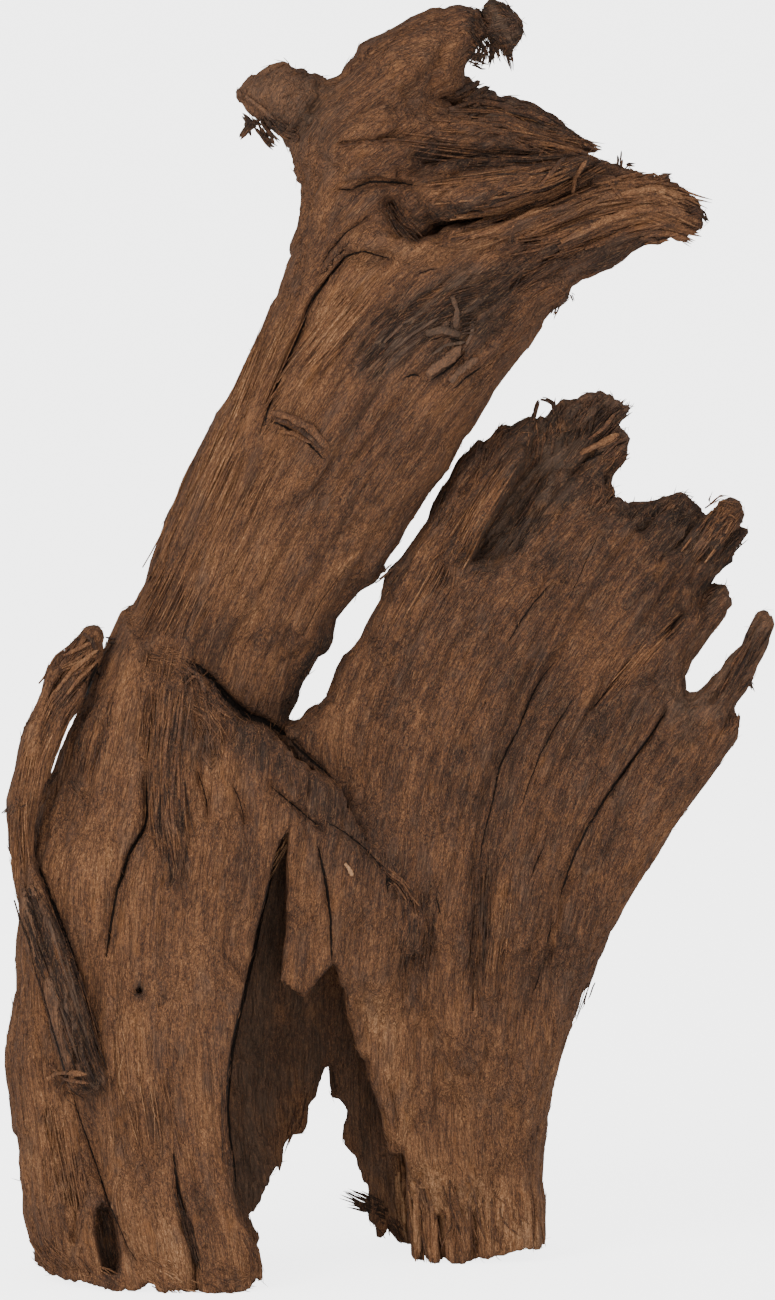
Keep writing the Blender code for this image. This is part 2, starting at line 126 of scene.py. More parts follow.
# Lean of the grain to the right, in degrees, at (column, row)
GRAIN = [
    (140, 1250, -18), (40, 1150, -8), (240, 1200, -10), (130, 1000, 2), (130, 850, 13),
    (250, 950, 12), (180, 600, 27), (300, 400, 27), (330, 250, 38), (302, 190, 12),
    (270, 90, -50), (400, 50, 30), (330, 200, 52), (350, 150, 84), (370, 190, 80),
    (450, 190, 80), (430, 120, 88), (520, 130, 104), (560, 190, 68),
    (660, 210, 76), (460, 300, 55), (450, 400, 36), (480, 540, 30), (570, 450, 30),
    (700, 540, 44), (760, 640, 36), (683, 614, 38), (610, 650, 34), (560, 720, 27),
    (500, 760, 14), (640, 780, 36), (690, 780, 38), (560, 900, 20), (520, 1020, 8),
    (480, 900, 8), (360, 680, 24), (310, 760, -40), (330, 900, -7), (380, 1000, -14),
    (440, 1180, -6), (520, 1200, -2), (60, 1050, -20), (30, 900, 0), (60, 700, 25),
]
GRAIN_REACH = 22.0


def mirrored(grid, sign_x, sign_v):
    """The grid with its mirror images beside and above it."""
    wide = np.vstack([grid, sign_x * grid[::-1]])
    return np.hstack([wide, sign_v * wide[:, ::-1]])


def potential(slope_x, slope_v):
    """Height whose slopes come nearest to the two given, by Fourier sums."""
    wave_x = np.fft.fftfreq(2 * X.shape[0])[:, None] * 2.0 * math.pi
    wave_v = np.fft.fftfreq(2 * X.shape[1])[None, :] * 2.0 * math.pi
    mean_x, mean_v = slope_x.mean(), slope_v.mean()
    double_x = mirrored(slope_x - mean_x, -1.0, 1.0)
    double_v = mirrored(slope_v - mean_v, 1.0, -1.0)
    square = wave_x ** 2 + wave_v ** 2
    square[0, 0] = 1.0
    turned = 1j * (wave_x * np.fft.fft2(double_x) + wave_v * np.fft.fft2(double_v))
    height = np.real(np.fft.ifft2(-turned / square))[:X.shape[0], :X.shape[1]] * CELL
    return (height + mean_x * X + mean_v * V).astype(np.float32)


grain_sine, grain_cosine = np.zeros(X.shape), np.zeros(X.shape)
for grain_x, grain_v, lean in drawn(GRAIN):
    pull = np.exp(-(np.hypot(X - grain_x, V - grain_v) / GRAIN_REACH)) + 1e-6
    grain_sine += pull * math.sin(math.radians(lean))
    grain_cosine += pull * math.cos(math.radians(lean))
grain_size = np.hypot(grain_sine, grain_cosine)
grain_sine, grain_cosine = grain_sine / grain_size, grain_cosine / grain_size
grain_across = potential(grain_cosine, -grain_sine)
grain_along = potential(grain_sine, grain_cosine)


LATTICE = 64


def ripple(across, along, sizes):
    """Long ridges: smooth seeded noise on a lattice, stretched along the grain.

    A value is blended from the four lattice values round it, by a smooth step of
    its place between them: three times the square less twice the cube.
    """
    total = np.zeros(across.shape, np.float32)
    for wide, long, height, seed in sizes:
        lattice = np.random.default_rng(seed).uniform(-1.0, 1.0, (LATTICE, LATTICE))
        a, b = across / wide, along / long
        i, j = np.floor(a).astype(int), np.floor(b).astype(int)
        s, t = a - i, b - j
        s, t = s * s * (3.0 - 2.0 * s), t * t * (3.0 - 2.0 * t)
        i, j, beside, above = [place % LATTICE for place in (i, j, i + 1, j + 1)]
        low = lattice[i, j] * (1 - s) + lattice[beside, j] * s
        high = lattice[i, above] * (1 - s) + lattice[beside, above] * s
        total += (height * (low * (1.0 - t) + high * t)).astype(np.float32)
    return total


# Ridges of the front and the back: (width, length, height, seed), millimetres
RIDGES = [(11.0, 90.0, 1.5, 11), (5.5, 46.0, 0.7, 23)]
BACK_RIDGES = [(15.0, 80.0, 3.2, 31), (7.0, 50.0, 1.4, 47)]
front_ridges = ripple(grain_across, grain_along, RIDGES)
back_ridges = ripple(grain_across, grain_along, BACK_RIDGES)


THINNEST = 1.6


def board(outline, stations, rim, front_relief=0.0, back_relief=0.0):
    """Field of one limb: an ellipse across its rim, from its front to its back.

    The shares of the rim and of the half depth that a point is out are squared and
    added. The root of the sum, less one, is nought on the skin and below it inside.
    """
    edge = distance_to_outline(outline)
    front, back = spread(stations)
    middle = (front + back) * 0.5
    near = np.maximum(middle - front - front_relief, THINNEST)
    far = np.maximum(back - middle - back_relief, THINNEST)
    inward = (np.maximum(edge + rim, 0.0) / rim)[:, None, :]
    offset = Y - middle[:, None, :]
    half = np.where(offset < 0.0, near[:, None, :], far[:, None, :])
    return (np.sqrt(inward ** 2 + (offset / half) ** 2) - 1.0) * np.minimum(half, rim)


def join(one, other, radius):
    """The nearer of two fields, rounded where they meet.

    A share that runs from nought to one while their difference crosses the radius
    blends them, less the radius times the share times the rest.
    """
    mix = np.clip(0.5 + 0.5 * (other - one) / radius, 0.0, 1.0)
    return other * (1.0 - mix) + one * mix - radius * mix * (1.0 - mix)


# The limbs: outlines as (column, row), stations as (column, row, depth of the front,
# depth of the back) and relief as (path, half width, depth taken off). Depths and
# widths are millimetres. The trunk comes first, with the head and its branch.
TRUNK = [
    (235, 95), (237, 90), (240, 87), (245, 81), (250, 77), (257, 74), (263, 72), (270, 69),
    (280, 65), (284, 64), (290, 66), (293, 69), (302, 71), (315, 76), (324, 80), (328, 83),
    (332, 81), (338, 79), (343, 75), (346, 69), (350, 64), (355, 60), (357, 54), (361, 47),
    (371, 42), (380, 39), (388, 35), (393, 33), (400, 29), (409, 23), (419, 18), (425, 16),
    (430, 13), (436, 12), (444, 14), (450, 11), (459, 9), (470, 10), (476, 14), (480, 20),
    (482, 30), (478, 42), (474, 54), (467, 62), (464, 72), (462, 88), (455, 98), (441, 100),
    (455, 112), (480, 114), (505, 118), (520, 126), (545, 137), (566, 147), (585, 156),
    (598, 164), (612, 167), (623, 169), (634, 173), (641, 177), (651, 179), (660, 176),
    (667, 175), (669, 181), (660, 185), (676, 184), (684, 191), (691, 199), (697, 207),
    (701, 216), (698, 219), (702, 224), (700, 231), (691, 234), (687, 236), (684, 242),
    (678, 239), (669, 238), (660, 241), (651, 242), (641, 246), (629, 252), (620, 261),
    (612, 269), (598, 275), (581, 279), (572, 288), (565, 299), (560, 304), (550, 309),
    (543, 318), (540, 325), (529, 341), (515, 359), (501, 380), (489, 399), (480, 410),
    (472, 424), (461, 438), (452, 457), (445, 472), (436, 481), (425, 498), (416, 512),
    (407, 527), (401, 540), (397, 547), (387, 560), (386, 571), (372, 581), (360, 588),
    (350, 599), (341, 610), (335, 618), (331, 629), (329, 641), (324, 649), (318, 655),
    (310, 668), (301, 680), (297, 690), (296, 699), (290, 709), (286, 716), (290, 740),
    (300, 760), (290, 800), (235, 980), (100, 1000), (52, 850), (66, 768), (92, 690),
    (102, 662), (111, 642), (115, 631), (120, 622), (126, 611), (135, 605), (147, 585),
    (158, 548), (168, 518), (180, 492), (191, 468), (201, 449), (212, 428), (217, 415),
    (228, 400), (244, 369), (260, 337), (273, 308), (283, 288), (291, 263), (293, 247),
    (300, 228), (302, 200), (301, 188), (299, 180), (296, 168), (290, 150), (285, 139),
    (275, 132), (265, 124), (257, 119), (250, 112), (243, 105), (237, 100),
]
TRUNK_STATIONS = [
    (250, 90, -13, 14), (300, 105, -18, 20), (400, 50, -19, 22), (465, 30, -12, 16),
    (350, 150, -25, 26), (320, 220, -27, 27), (450, 180, -26, 26), (560, 215, -21, 21),
    (640, 205, -14, 13), (690, 215, -8, 9), (440, 300, -25, 27), (300, 400, -23, 28),
    (400, 450, -19, 28), (220, 560, -21, 28), (330, 600, -12, 26), (170, 680, -22, 28),
    (250, 690, -9, 28), (285, 740, 2, 28), (230, 740, -6, 30), (200, 820, -10, 30),
    (120, 800, -14, 26), (150, 960, -12, 27),
]
TRUNK_RELIEF = [
    ([(392, 208), (402, 226), (416, 238), (436, 236)], 2.8, 11.0),
    ([(432, 226), (480, 221), (520, 206), (556, 191), (592, 171)], 2.0, 14.0),
    ([(452, 234), (500, 219), (545, 201), (602, 170)], 1.0, -6.0),
    ([(498, 224), (530, 213), (560, 200), (586, 188)], 1.3, 9.0),
    ([(430, 245), (500, 231), (560, 208), (612, 184)], 2.0, -3.5),
    ([(524, 243), (570, 224), (608, 208)], 1.5, 8.0),
    ([(500, 250), (560, 236), (620, 214), (664, 206)], 1.8, -2.5),
    ([(540, 262), (600, 236), (650, 218)], 1.2, 4.0),
    ([(424, 164), (450, 158), (484, 163), (520, 158), (560, 150)], 3.0, 9.0),
    ([(340, 146), (400, 142), (460, 150), (540, 160)], 1.3, 3.5),
    ([(400, 176), (450, 178), (480, 170)], 1.6, 4.0),
    ([(600, 196), (640, 190), (676, 192)], 1.2, 3.5),
    ([(620, 206), (660, 206), (698, 222)], 1.1, 3.0),
    ([(560, 256), (600, 240), (650, 222)], 1.8, 4.5),
    ([(520, 286), (560, 272), (606, 250)], 2.2, 3.5),
    ([(460, 110), (500, 130), (545, 146)], 1.8, 4.0),
    ([(388, 260), (345, 259), (328, 281), (303, 327), (272, 401)], 2.4, 4.0),
    ([(367, 220), (345, 236), (331, 252), (321, 268)], 1.6, 2.4),
    ([(340, 192), (362, 187), (400, 185), (415, 188)], 1.6, 3.4),
    ([(312, 110), (316, 122), (306, 132), (298, 136)], 2.2, 5.0),
    ([(322, 84), (318, 96), (322, 110)], 2.0, 3.0),
    ([(370, 350), (430, 310), (480, 296)], 7.0, 2.5),
    ([(380, 140), (410, 136), (440, 140), (500, 134)], 1.6, 2.6),
    ([(345, 235), (400, 250), (470, 245), (540, 222)], 4.0, -4.0),
    ([(300, 150), (340, 152), (400, 150)], 4.0, -2.0),
    ([(452, 352), (464, 338), (470, 322)], 2.2, 3.4),
    ([(458, 360), (470, 372), (482, 380)], 2.0, 3.0),
    ([(420, 90), (390, 60), (400, 40)], 4.0, -3.0),
    ([(440, 60), (430, 84), (410, 98)], 2.4, 3.0),
    ([(180, 640), (215, 560), (262, 452), (300, 372)], 4.0, -2.0),
    ([(240, 640), (290, 560), (350, 470), (420, 380)], 5.0, 1.8),
]

# The splintered bundle between the top knob and the branch
BUNDLE = [
    (440, 78), (456, 76), (470, 79), (473, 82), (475, 88), (482, 89), (483, 92), (493, 93),
    (496, 97), (492, 101), (499, 102), (506, 99), (517, 100), (528, 104), (537, 108),
    (543, 113), (550, 118), (560, 122), (569, 131), (579, 141), (590, 143), (595, 147),
    (598, 153), (592, 155), (586, 155), (580, 170), (480, 170), (440, 130),
]
BUNDLE_STATIONS = [(450, 100, 2, 26), (520, 130, 5, 24), (590, 150, 3, 15)]

# The round ridge that stands out above the branch
LUMP = [
    (414, 186), (416, 200), (421, 210), (430, 216), (444, 219), (460, 218), (478, 214),
    (494, 209), (512, 202), (530, 194), (548, 187), (566, 178), (584, 166), (591, 159),
    (570, 163), (548, 169), (530, 171), (512, 170), (493, 173), (480, 178), (457, 183),
    (436, 186),
]
LUMP_STATIONS = [(420, 200, -31, -12), (470, 196, -38, -10), (520, 184, -35, -10), (575, 168, -28, -8)]

# The small lobe beside the top knob
LOBE = [
    (470, 30), (484, 30), (490, 27), (487, 18), (485, 9), (488, 3), (493, 1), (496, 3),
    (500, 7), (507, 10), (514, 17), (520, 24), (521, 29), (521, 37), (517, 43), (514, 52),
    (511, 59), (506, 56), (502, 52), (497, 46), (494, 38), (486, 36), (474, 44),
]
LOBE_STATIONS = [(475, 38, -2, 10), (505, 30, -3, 9)]

# The left leg, with the folded front layer that runs over to the fan
LEFT_LEG = [
    (100, 662), (111, 640), (124, 612), (160, 636), (184, 662), (193, 666), (201, 671),
    (212, 681), (222, 697), (232, 711), (243, 721), (253, 726), (264, 728), (274, 737),
    (281, 745), (291, 756), (305, 766), (317, 775), (330, 780), (340, 791), (348, 808),
    (356, 826), (378, 852), (400, 876), (416, 896), (430, 914), (425, 956), (360, 936),
    (340, 980), (310, 1010), (290, 1060), (280, 1140), (290, 1240), (290, 1400), (40, 1400),
    (36, 1258), (36, 1251), (32, 1244),
    (29, 1232), (25, 1218), (24, 1195), (20, 1176), (18, 1151), (16, 1137), (11, 1132),
    (11, 1114), (9, 1090), (6, 1067), (6, 1050), (8, 1036), (12, 1018), (16, 994),
    (19, 977), (17, 960), (18, 942), (21, 920), (22, 895), (27, 858), (37, 822), (41, 808),
    (46, 797), (52, 782), (57, 770), (61, 755), (65, 743), (70, 730), (77, 717), (85, 700),
    (93, 682),
]
LEFT_LEG_STATIONS = [
    (120, 650, -21, 24), (60, 760, -22, 8), (150, 720, -25, 24), (205, 690, -27, -9),
    (240, 740, -28, -17), (290, 785, -28, -19), (335, 812, -25, -13), (180, 780, -30, 12),
    (200, 860, -35, 27), (100, 900, -34, 26), (285, 850, -28, -17), (50, 1000, -31, 24),
    (150, 1050, -41, 28), (225, 1040, -38, 20), (40, 1150, -30, 24), (120, 1240, -46, 28),
    (210, 1260, -47, 24), (45, 1240, -32, 20), (345, 860, -23, -10), (400, 905, -16, -2),
    (300, 950, -20, -12),
]
LEG_RELIEF = [
    ([(147, 780), (146, 825), (124, 872), (107, 955)], 2.2, 3.0),
    ([(71, 1087), (100, 1174), (139, 1262)], 2.4, 3.4),
    ([(176, 1186), (184, 1214)], 1.2, 2.4),
    ([(186, 1224), (194, 1250), (206, 1380)], 1.7, 7.0),
    ([(51, 1116), (64, 1168), (79, 1207), (77, 1240)], 1.8, 4.5),
    ([(180, 690), (166, 760), (172, 860)], 5.0, -2.6),
    ([(152, 700), (150, 760), (158, 840)], 2.4, 2.6),
    ([(215, 680), (265, 735), (330, 790)], 3.0, -3.0),
    ([(196, 760), (208, 815)], 1.8, 2.0),
    ([(233, 780), (245, 820)], 1.8, 2.0),
    ([(270, 785), (300, 810), (322, 828)], 1.8, 2.6),
    ([(40, 1010), (60, 1090), (70, 1200)], 5.0, 2.6),
    ([(200, 960), (190, 1060), (200, 1140)], 8.0, -2.4),
    ([(104, 668), (92, 690), (84, 712)], 2.2, 3.6),
    ([(60, 900), (80, 970), (104, 1060)], 4.0, 2.4),
    ([(30, 1256), (60, 1262), (90, 1268)], 2.4, 2.6),
]

# The strap that runs down the left leg's side
STRAP = [
    (103, 640), (101, 632), (98, 628), (91, 628), (86, 631), (82, 637), (73, 646),
    (67, 650), (59, 654), (56, 661), (50, 667), (47, 674), (45, 683), (44, 692), (39, 701),
    (34, 713), (27, 727), (24, 738), (22, 748), (21, 757), (19, 770), (14, 788), (10, 800),
    (9, 817), (10, 828), (10, 843), (11, 857), (14, 871), (17, 887), (19, 901), (21, 915),
    (26, 932), (30, 958), (36, 973), (42, 992), (48, 1010), (52, 1031), (61, 1053),
    (66, 1072), (71, 1089), (83, 1092), (97, 1090), (107, 1081), (102, 1065), (94, 1048),
    (92, 1029), (87, 1012), (81, 998), (76, 979), (71, 954), (64, 937), (57, 914),
    (50, 895), (38, 872), (33, 850), (33, 826), (37, 805), (42, 795), (47, 783), (49, 770),
    (55, 755), (62, 738), (70, 720), (78, 706), (85, 692), (92, 676), (101, 658),
]
STRAP_STATIONS = [
    (90, 645, -18, -4), (60, 690, -23, -10), (30, 760, -26, -14), (20, 850, -30, -14),
    (35, 940, -37, -20), (65, 1010, -45, -28), (90, 1080, -47, -32),
]
STRAP_RELIEF = [
    ([(56, 930), (70, 980), (84, 1030), (96, 1076)], 1.3, 4.0),
    ([(34, 900), (50, 960), (66, 1020), (80, 1080)], 1.2, 2.6),
    ([(90, 640), (64, 680), (40, 740)], 1.4, 3.0),
    ([(84, 660), (60, 706), (36, 770)], 1.2, 2.6),
    ([(32, 760), (22, 820), (28, 890), (44, 940)], 0.9, 2.6),
    ([(26, 780), (17, 830), (20, 880)], 0.8, 1.8),
    ([(76, 650), (54, 690), (44, 720)], 1.0, 2.2),
    ([(44, 930), (60, 990), (78, 1060)], 0.8, 2.6),
    ([(60, 708), (80, 682), (102, 662)], 0.9, 3.0),
    ([(56, 684), (72, 662), (90, 644)], 0.8, 2.6),
    ([(92, 628), (96, 646), (90, 668)], 0.7, 2.4),
]

# The torn fan and the right leg under it
FAN = [
    (292, 722), (298, 718), (309, 710), (317, 705), (328, 698), (333, 689), (335, 680),
    (338, 669), (345, 656), (352, 649), (361, 637), (371, 618), (381, 600), (387, 580),
    (391, 571), (400, 561), (407, 550), (415, 539), (422, 527), (428, 519), (433, 507),
    (438, 498), (442, 489), (447, 485), (451, 477), (460, 461), (470, 452), (477, 442),
    (482, 437), (482, 444), (491, 438), (497, 432), (501, 426), (507, 426), (512, 429),
    (518, 424), (524, 421), (529, 418), (538, 420), (546, 418), (552, 410), (557, 404),
    (562, 400), (570, 402), (578, 399), (585, 395), (590, 393), (595, 395), (600, 391),
    (608, 396), (615, 401), (622, 404), (627, 405), (630, 408), (624, 415), (620, 422),
    (618, 429), (623, 433), (628, 437), (630, 444), (627, 452), (625, 457), (618, 466),
    (613, 472), (610, 478), (610, 485), (612, 492), (608, 502), (615, 498), (622, 501),
    (632, 504), (642, 502), (653, 503), (660, 500), (670, 498), (678, 495), (683, 496),
    (690, 500), (696, 503), (702, 508), (703, 512), (707, 515), (711, 512), (717, 510),
    (719, 501), (729, 498), (736, 501), (740, 507), (741, 515), (740, 525), (745, 530),
    (746, 534), (740, 542), (732, 552), (729, 558), (720, 569), (713, 578), (710, 585),
    (716, 585), (722, 587), (727, 593), (730, 602), (724, 609), (721, 621), (712, 630),
    (705, 641), (698, 650), (690, 660), (688, 669), (684, 676), (683, 686), (685, 692),
    (689, 695), (694, 693), (701, 690), (707, 683), (714, 673), (722, 667), (728, 658),
    (736, 652), (742, 645), (746, 636), (750, 629), (754, 621), (760, 613), (766, 612),
    (771, 615), (774, 625), (768, 638), (766, 650), (761, 660), (755, 673), (751, 682),
    (744, 694), (739, 700), (734, 708), (735, 716), (736, 727), (734, 738), (726, 750),
    (716, 764), (704, 780), (690, 799), (680, 814), (672, 828), (655, 855), (637, 882),
    (622, 905), (608, 934), (597, 960), (590, 980), (583, 993), (580, 1003), (575, 1018),
    (570, 1029), (563, 1050), (557, 1076), (551, 1095), (546, 1121), (543, 1148),
    (541, 1185), (545, 1206), (545, 1241), (547, 1400), (380, 1400), (376, 1240),
    (366, 1150), (336, 1070), (312, 1000), (284, 978), (288, 900), (291, 826), (330, 800),
    (300, 768), (278, 738), (284, 722),
]
FAN_STATIONS = [
    (320, 740, -1, 24), (345, 680, 0, 20), (400, 600, -4, 18), (470, 470, 0, 16),
    (520, 440, 2, 14), (590, 410, 0, 13), (620, 440, 0, 12), (500, 600, -9, 16),
    (600, 560, -7, 14), (680, 520, -3, 12), (735, 520, -4, 7), (700, 600, -6, 10),
    (765, 640, -8, 3), (725, 720, -7, 8), (650, 750, -10, 14), (550, 780, -13, 18),
    (430, 760, -10, 24), (600, 900, -8, 22), (500, 900, -15, 30), (420, 880, -14, 34),
    (340, 870, -18, 44), (460, 1000, -10, 44), (560, 1000, -1, 38), (400, 1050, -3, 50),
    (460, 1150, 4, 58), (540, 1200, 13, 54), (420, 1240, 13, 64), (490, 1250, 12, 66),
    (340, 950, -17, 48),
]
FAN_RELIEF = [
    ([(556, 440), (538, 476), (516, 512), (490, 546)], 7.0, 7.5),
    ([(530, 466), (511, 496), (492, 526), (474, 556)], 2.0, 3.6),
    ([(521, 452), (502, 486), (483, 518), (464, 556)], 1.5, -4.5),
    ([(532, 424), (508, 462), (484, 512), (452, 560)], 3.4, -4.0),
    ([(556, 408), (552, 436), (540, 462)], 3.0, 7.0),
    ([(612, 412), (596, 436), (576, 466)], 3.0, 7.0),
    ([(572, 404), (566, 430), (556, 462), (540, 500)], 2.2, -3.0),
    ([(740, 538), (724, 566), (706, 596)], 3.4, 9.5),
    ([(708, 548), (696, 566), (690, 584)], 1.2, 3.0),
    ([(690, 552), (672, 590), (660, 620)], 5.0, 1.6),
    ([(584, 446), (602, 430), (622, 420)], 2.4, 5.0),
    ([(706, 560), (722, 548), (736, 536)], 1.6, 3.0),
    ([(660, 560), (684, 536), (700, 520)], 1.2, 2.0),
    ([(640, 530), (656, 512)], 1.2, 2.0),
    ([(720, 532), (700, 566), (684, 604)], 3.0, -3.5),
    ([(500, 436), (484, 462), (466, 490)], 2.0, 3.0),
    ([(683, 614), (650, 650), (619, 674), (593, 708)], 1.3, 1.4),
    ([(666, 711), (629, 764), (598, 819), (560, 903), (540, 985)], 1.6, 2.0),
    ([(640, 700), (600, 770), (570, 850)], 6.0, -2.4),
    ([(555, 661), (507, 753), (485, 826), (479, 930)], 4.5, 2.6),
    ([(560, 600), (505, 690), (470, 780)], 6.0, -2.6),
    ([(430, 900), (420, 1000), (440, 1100)], 5.0, 3.0),
    ([(420, 905), (412, 950), (404, 990)], 2.0, 2.4),
    ([(500, 900), (494, 950), (488, 990)], 2.4, -2.2),
    ([(482, 880), (478, 950), (474, 1010)], 3.0, 3.0),
    ([(750, 640), (730, 670), (712, 700)], 1.6, 3.0),
    ([(728, 716), (734, 724)], 2.0, 2.4),
    ([(424, 1196), (424, 1240), (426, 1300)], 1.2, 11.0),
    ([(439, 1220), (442, 1260), (444, 1300)], 1.1, 9.0),
    ([(410, 1206), (412, 1300)], 0.9, 5.0),
    ([(474, 1216), (476, 1300)], 1.4, 4.0),
    ([(338, 964), (356, 1034), (386, 1114), (409, 1160)], 2.2, -1.6),
]

# The wall behind the hollow, with its torn edge between the legs
BACK_WALL = [
    (170, 720), (286, 744), (330, 752), (400, 740), (470, 880), (470, 1100), (460, 1400), (404, 1400),
    (400, 1250), (388, 1246), (392, 1242), (384, 1235), (376, 1231), (370, 1225),
    (367, 1218), (370, 1211), (366, 1196), (362, 1186), (355, 1173), (349, 1160),
    (343, 1151), (341, 1142), (342, 1137), (343, 1129), (346, 1123), (347, 1114),
    (344, 1106), (340, 1101), (334, 1101), (331, 1105), (330, 1090), (329, 1078),
    (327, 1071), (324, 1074), (320, 1080), (317, 1088), (314, 1100), (311, 1103),
    (308, 1108), (307, 1118), (307, 1128), (305, 1137), (302, 1140), (293, 1140),
    (290, 1147), (287, 1152), (284, 1161), (282, 1170), (281, 1179), (278, 1182),
    (276, 1173), (272, 1182), (268, 1190), (262, 1197), (259, 1209), (257, 1220),
    (257, 1238), (258, 1400), (160, 1400), (130, 1000), (130, 850),
]
BACK_WALL_STATIONS = [
    (230, 720, 10, 29), (380, 740, 8, 24), (160, 900, 10, 27), (260, 820, 22, 36),
    (220, 1000, 28, 39), (150, 1200, 14, 27), (220, 1250, 24, 36), (340, 900, 34, 48),
    (330, 1060, 40, 52), (400, 1000, 40, 53), (440, 1240, 50, 64), (270, 1180, 33, 45),
    (450, 900, 20, 40),
]

# The hollow between the legs, and below it the opening in its front
HOLLOW = [
    (300, 806), (345, 850), (380, 930), (402, 1020), (430, 1120), (442, 1200),
    (446, 1410), (212, 1410), (206, 1200), (196, 1100), (206, 1000), (232, 915), (266, 850),
]
HOLLOW_STATIONS = [
    (240, 1000, -25, 30), (230, 1230, -30, 28), (400, 1000, 7, 40), (425, 1220, 24, 52),
    (396, 1088, 15, 46),
    (340, 910, -6, 36), (295, 850, -14, 28), (330, 1060, -6, 40), (330, 1250, 0, 44),
]
OPENING = [
    (291, 826), (289, 852), (289, 878), (288, 907), (287, 932), (285, 949), (284, 966),
    (283, 980), (289, 986), (296, 990), (301, 994), (305, 995), (310, 985), (317, 977),
    (324, 970), (333, 962), (338, 964), (340, 971), (342, 980), (346, 992), (348, 1004),
    (351, 1020), (356, 1034), (360, 1048), (363, 1054), (370, 1061), (372, 1075),
    (376, 1088), (381, 1103), (386, 1114), (387, 1130), (389, 1144), (391, 1153),
    (396, 1153), (400, 1151), (409, 1158), (411, 1172), (411, 1213), (410, 1231),
    (411, 1245), (412, 1410), (262, 1410), (260, 1272), (256, 1248), (251, 1239),
    (246, 1231), (239, 1218), (235, 1206), (231, 1192), (229, 1179), (229, 1161),
    (225, 1140), (223, 1118), (224, 1097), (227, 1075), (228, 1057), (229, 1046),
    (233, 1030), (237, 1013), (240, 994), (244, 973), (249, 956), (253, 937), (257, 918),
    (262, 899), (266, 881), (269, 866), (273, 852), (278, 840), (284, 830),
]
OPENING_STATIONS = [(290, 900, -90, 26), (300, 1100, -90, 34), (400, 1200, -90, 44)]

# Rotted pocket in the left foot
POCKET = [
    (92, 1206), (101, 1198), (112, 1203), (119, 1217), (124, 1238), (125, 1256), (122, 1278),
    (102, 1274), (95, 1250), (90, 1226),
]
POCKET_STATIONS = [(106, 1212, -90, -32), (108, 1240, -90, -26), (112, 1270, -90, -32)]

# Beetle hole in the left leg
HOLE = [
    (136, 984), (141, 983), (146, 985), (148, 990), (146, 996), (141, 998), (136, 996), (133, 990),
]
HOLE_STATIONS = [(138, 990, -90, -30), (143, 992, -90, -30)]

# The limbs run together. A board is given its rim and a joint its rounding, millimetres.
wood = board(TRUNK, TRUNK_STATIONS, 26.0, front_ridges + relief(TRUNK_RELIEF), back_ridges)
wood = join(wood, board(BUNDLE, BUNDLE_STATIONS, 9.0, front_ridges, back_ridges), 2.0)
wood = join(wood, board(LUMP, LUMP_STATIONS, 6.0, front_ridges), 1.2)
wood = join(wood, board(LOBE, LOBE_STATIONS, 5.0), 1.2)
leg = board(LEFT_LEG, LEFT_LEG_STATIONS, 20.0, front_ridges + relief(LEG_RELIEF), back_ridges)
wood = join(wood, leg, 1.4)
wood = join(wood, board(BACK_WALL, BACK_WALL_STATIONS, 7.0, 0.0, 0.6 * back_ridges), 5.0)
fan = board(FAN, FAN_STATIONS, 6.5, front_ridges + relief(FAN_RELIEF), back_ridges)
wood = join(wood, fan, 1.2)
wood = join(wood, board(STRAP, STRAP_STATIONS, 5.0, front_ridges + relief(STRAP_RELIEF)), 1.2)
hollow = join(board(HOLLOW, HOLLOW_STATIONS, 9.0), board(OPENING, OPENING_STATIONS, 1.6), 1.0)
hollow = join(hollow, board(POCKET, POCKET_STATIONS, 2.2), 0.5)
hollow = join(hollow, board(HOLE, HOLE_STATIONS, 0.8), 0.1)
wood = -join(-wood, hollow, 0.8)
# Wear under the feet: (width, length, height, seed), millimetres
SOLE_WEAR = [(9.0, 9.0, 2.0, 61), (4.0, 4.0, 1.2, 67)]
# Broken edges under the feet: (column, half width, height), the sizes in millimetres
SOLE_CHIPS = [
    (36, 6.0, 3.6), (62, 7.0, 1.8), (92, 6.0, 1.6), (150, 2.6, 3.0), (256, 2.0, 4.0),
    (500, 9.0, 2.2), (532, 8.0, 4.2), (392, 2.4, 4.6), (446, 1.6, 1.8),
]
sole_across, sole_depth = np.meshgrid(x_line, y_line, indexing="ij")
worn_away = np.maximum(ripple(sole_across, sole_depth, SOLE_WEAR), 0.0)
for chip_column, chip_width, chip_height in SOLE_CHIPS:
    chip_across = (chip_column - MIDDLE_COLUMN) * STEP
    worn_away += chip_height * np.exp(-((sole_across - chip_across) / chip_width) ** 2)
floor_height = V[:, None, :] / math.cos(TILT) - Y * math.tan(TILT) - worn_away[:, :, None]
wood = np.maximum(wood, -floor_height)
del leg, fan, hollow, floor_height


CORNERS = [(a, b, c) for a in (0, 1) for b in (0, 1) for c in (0, 1)]


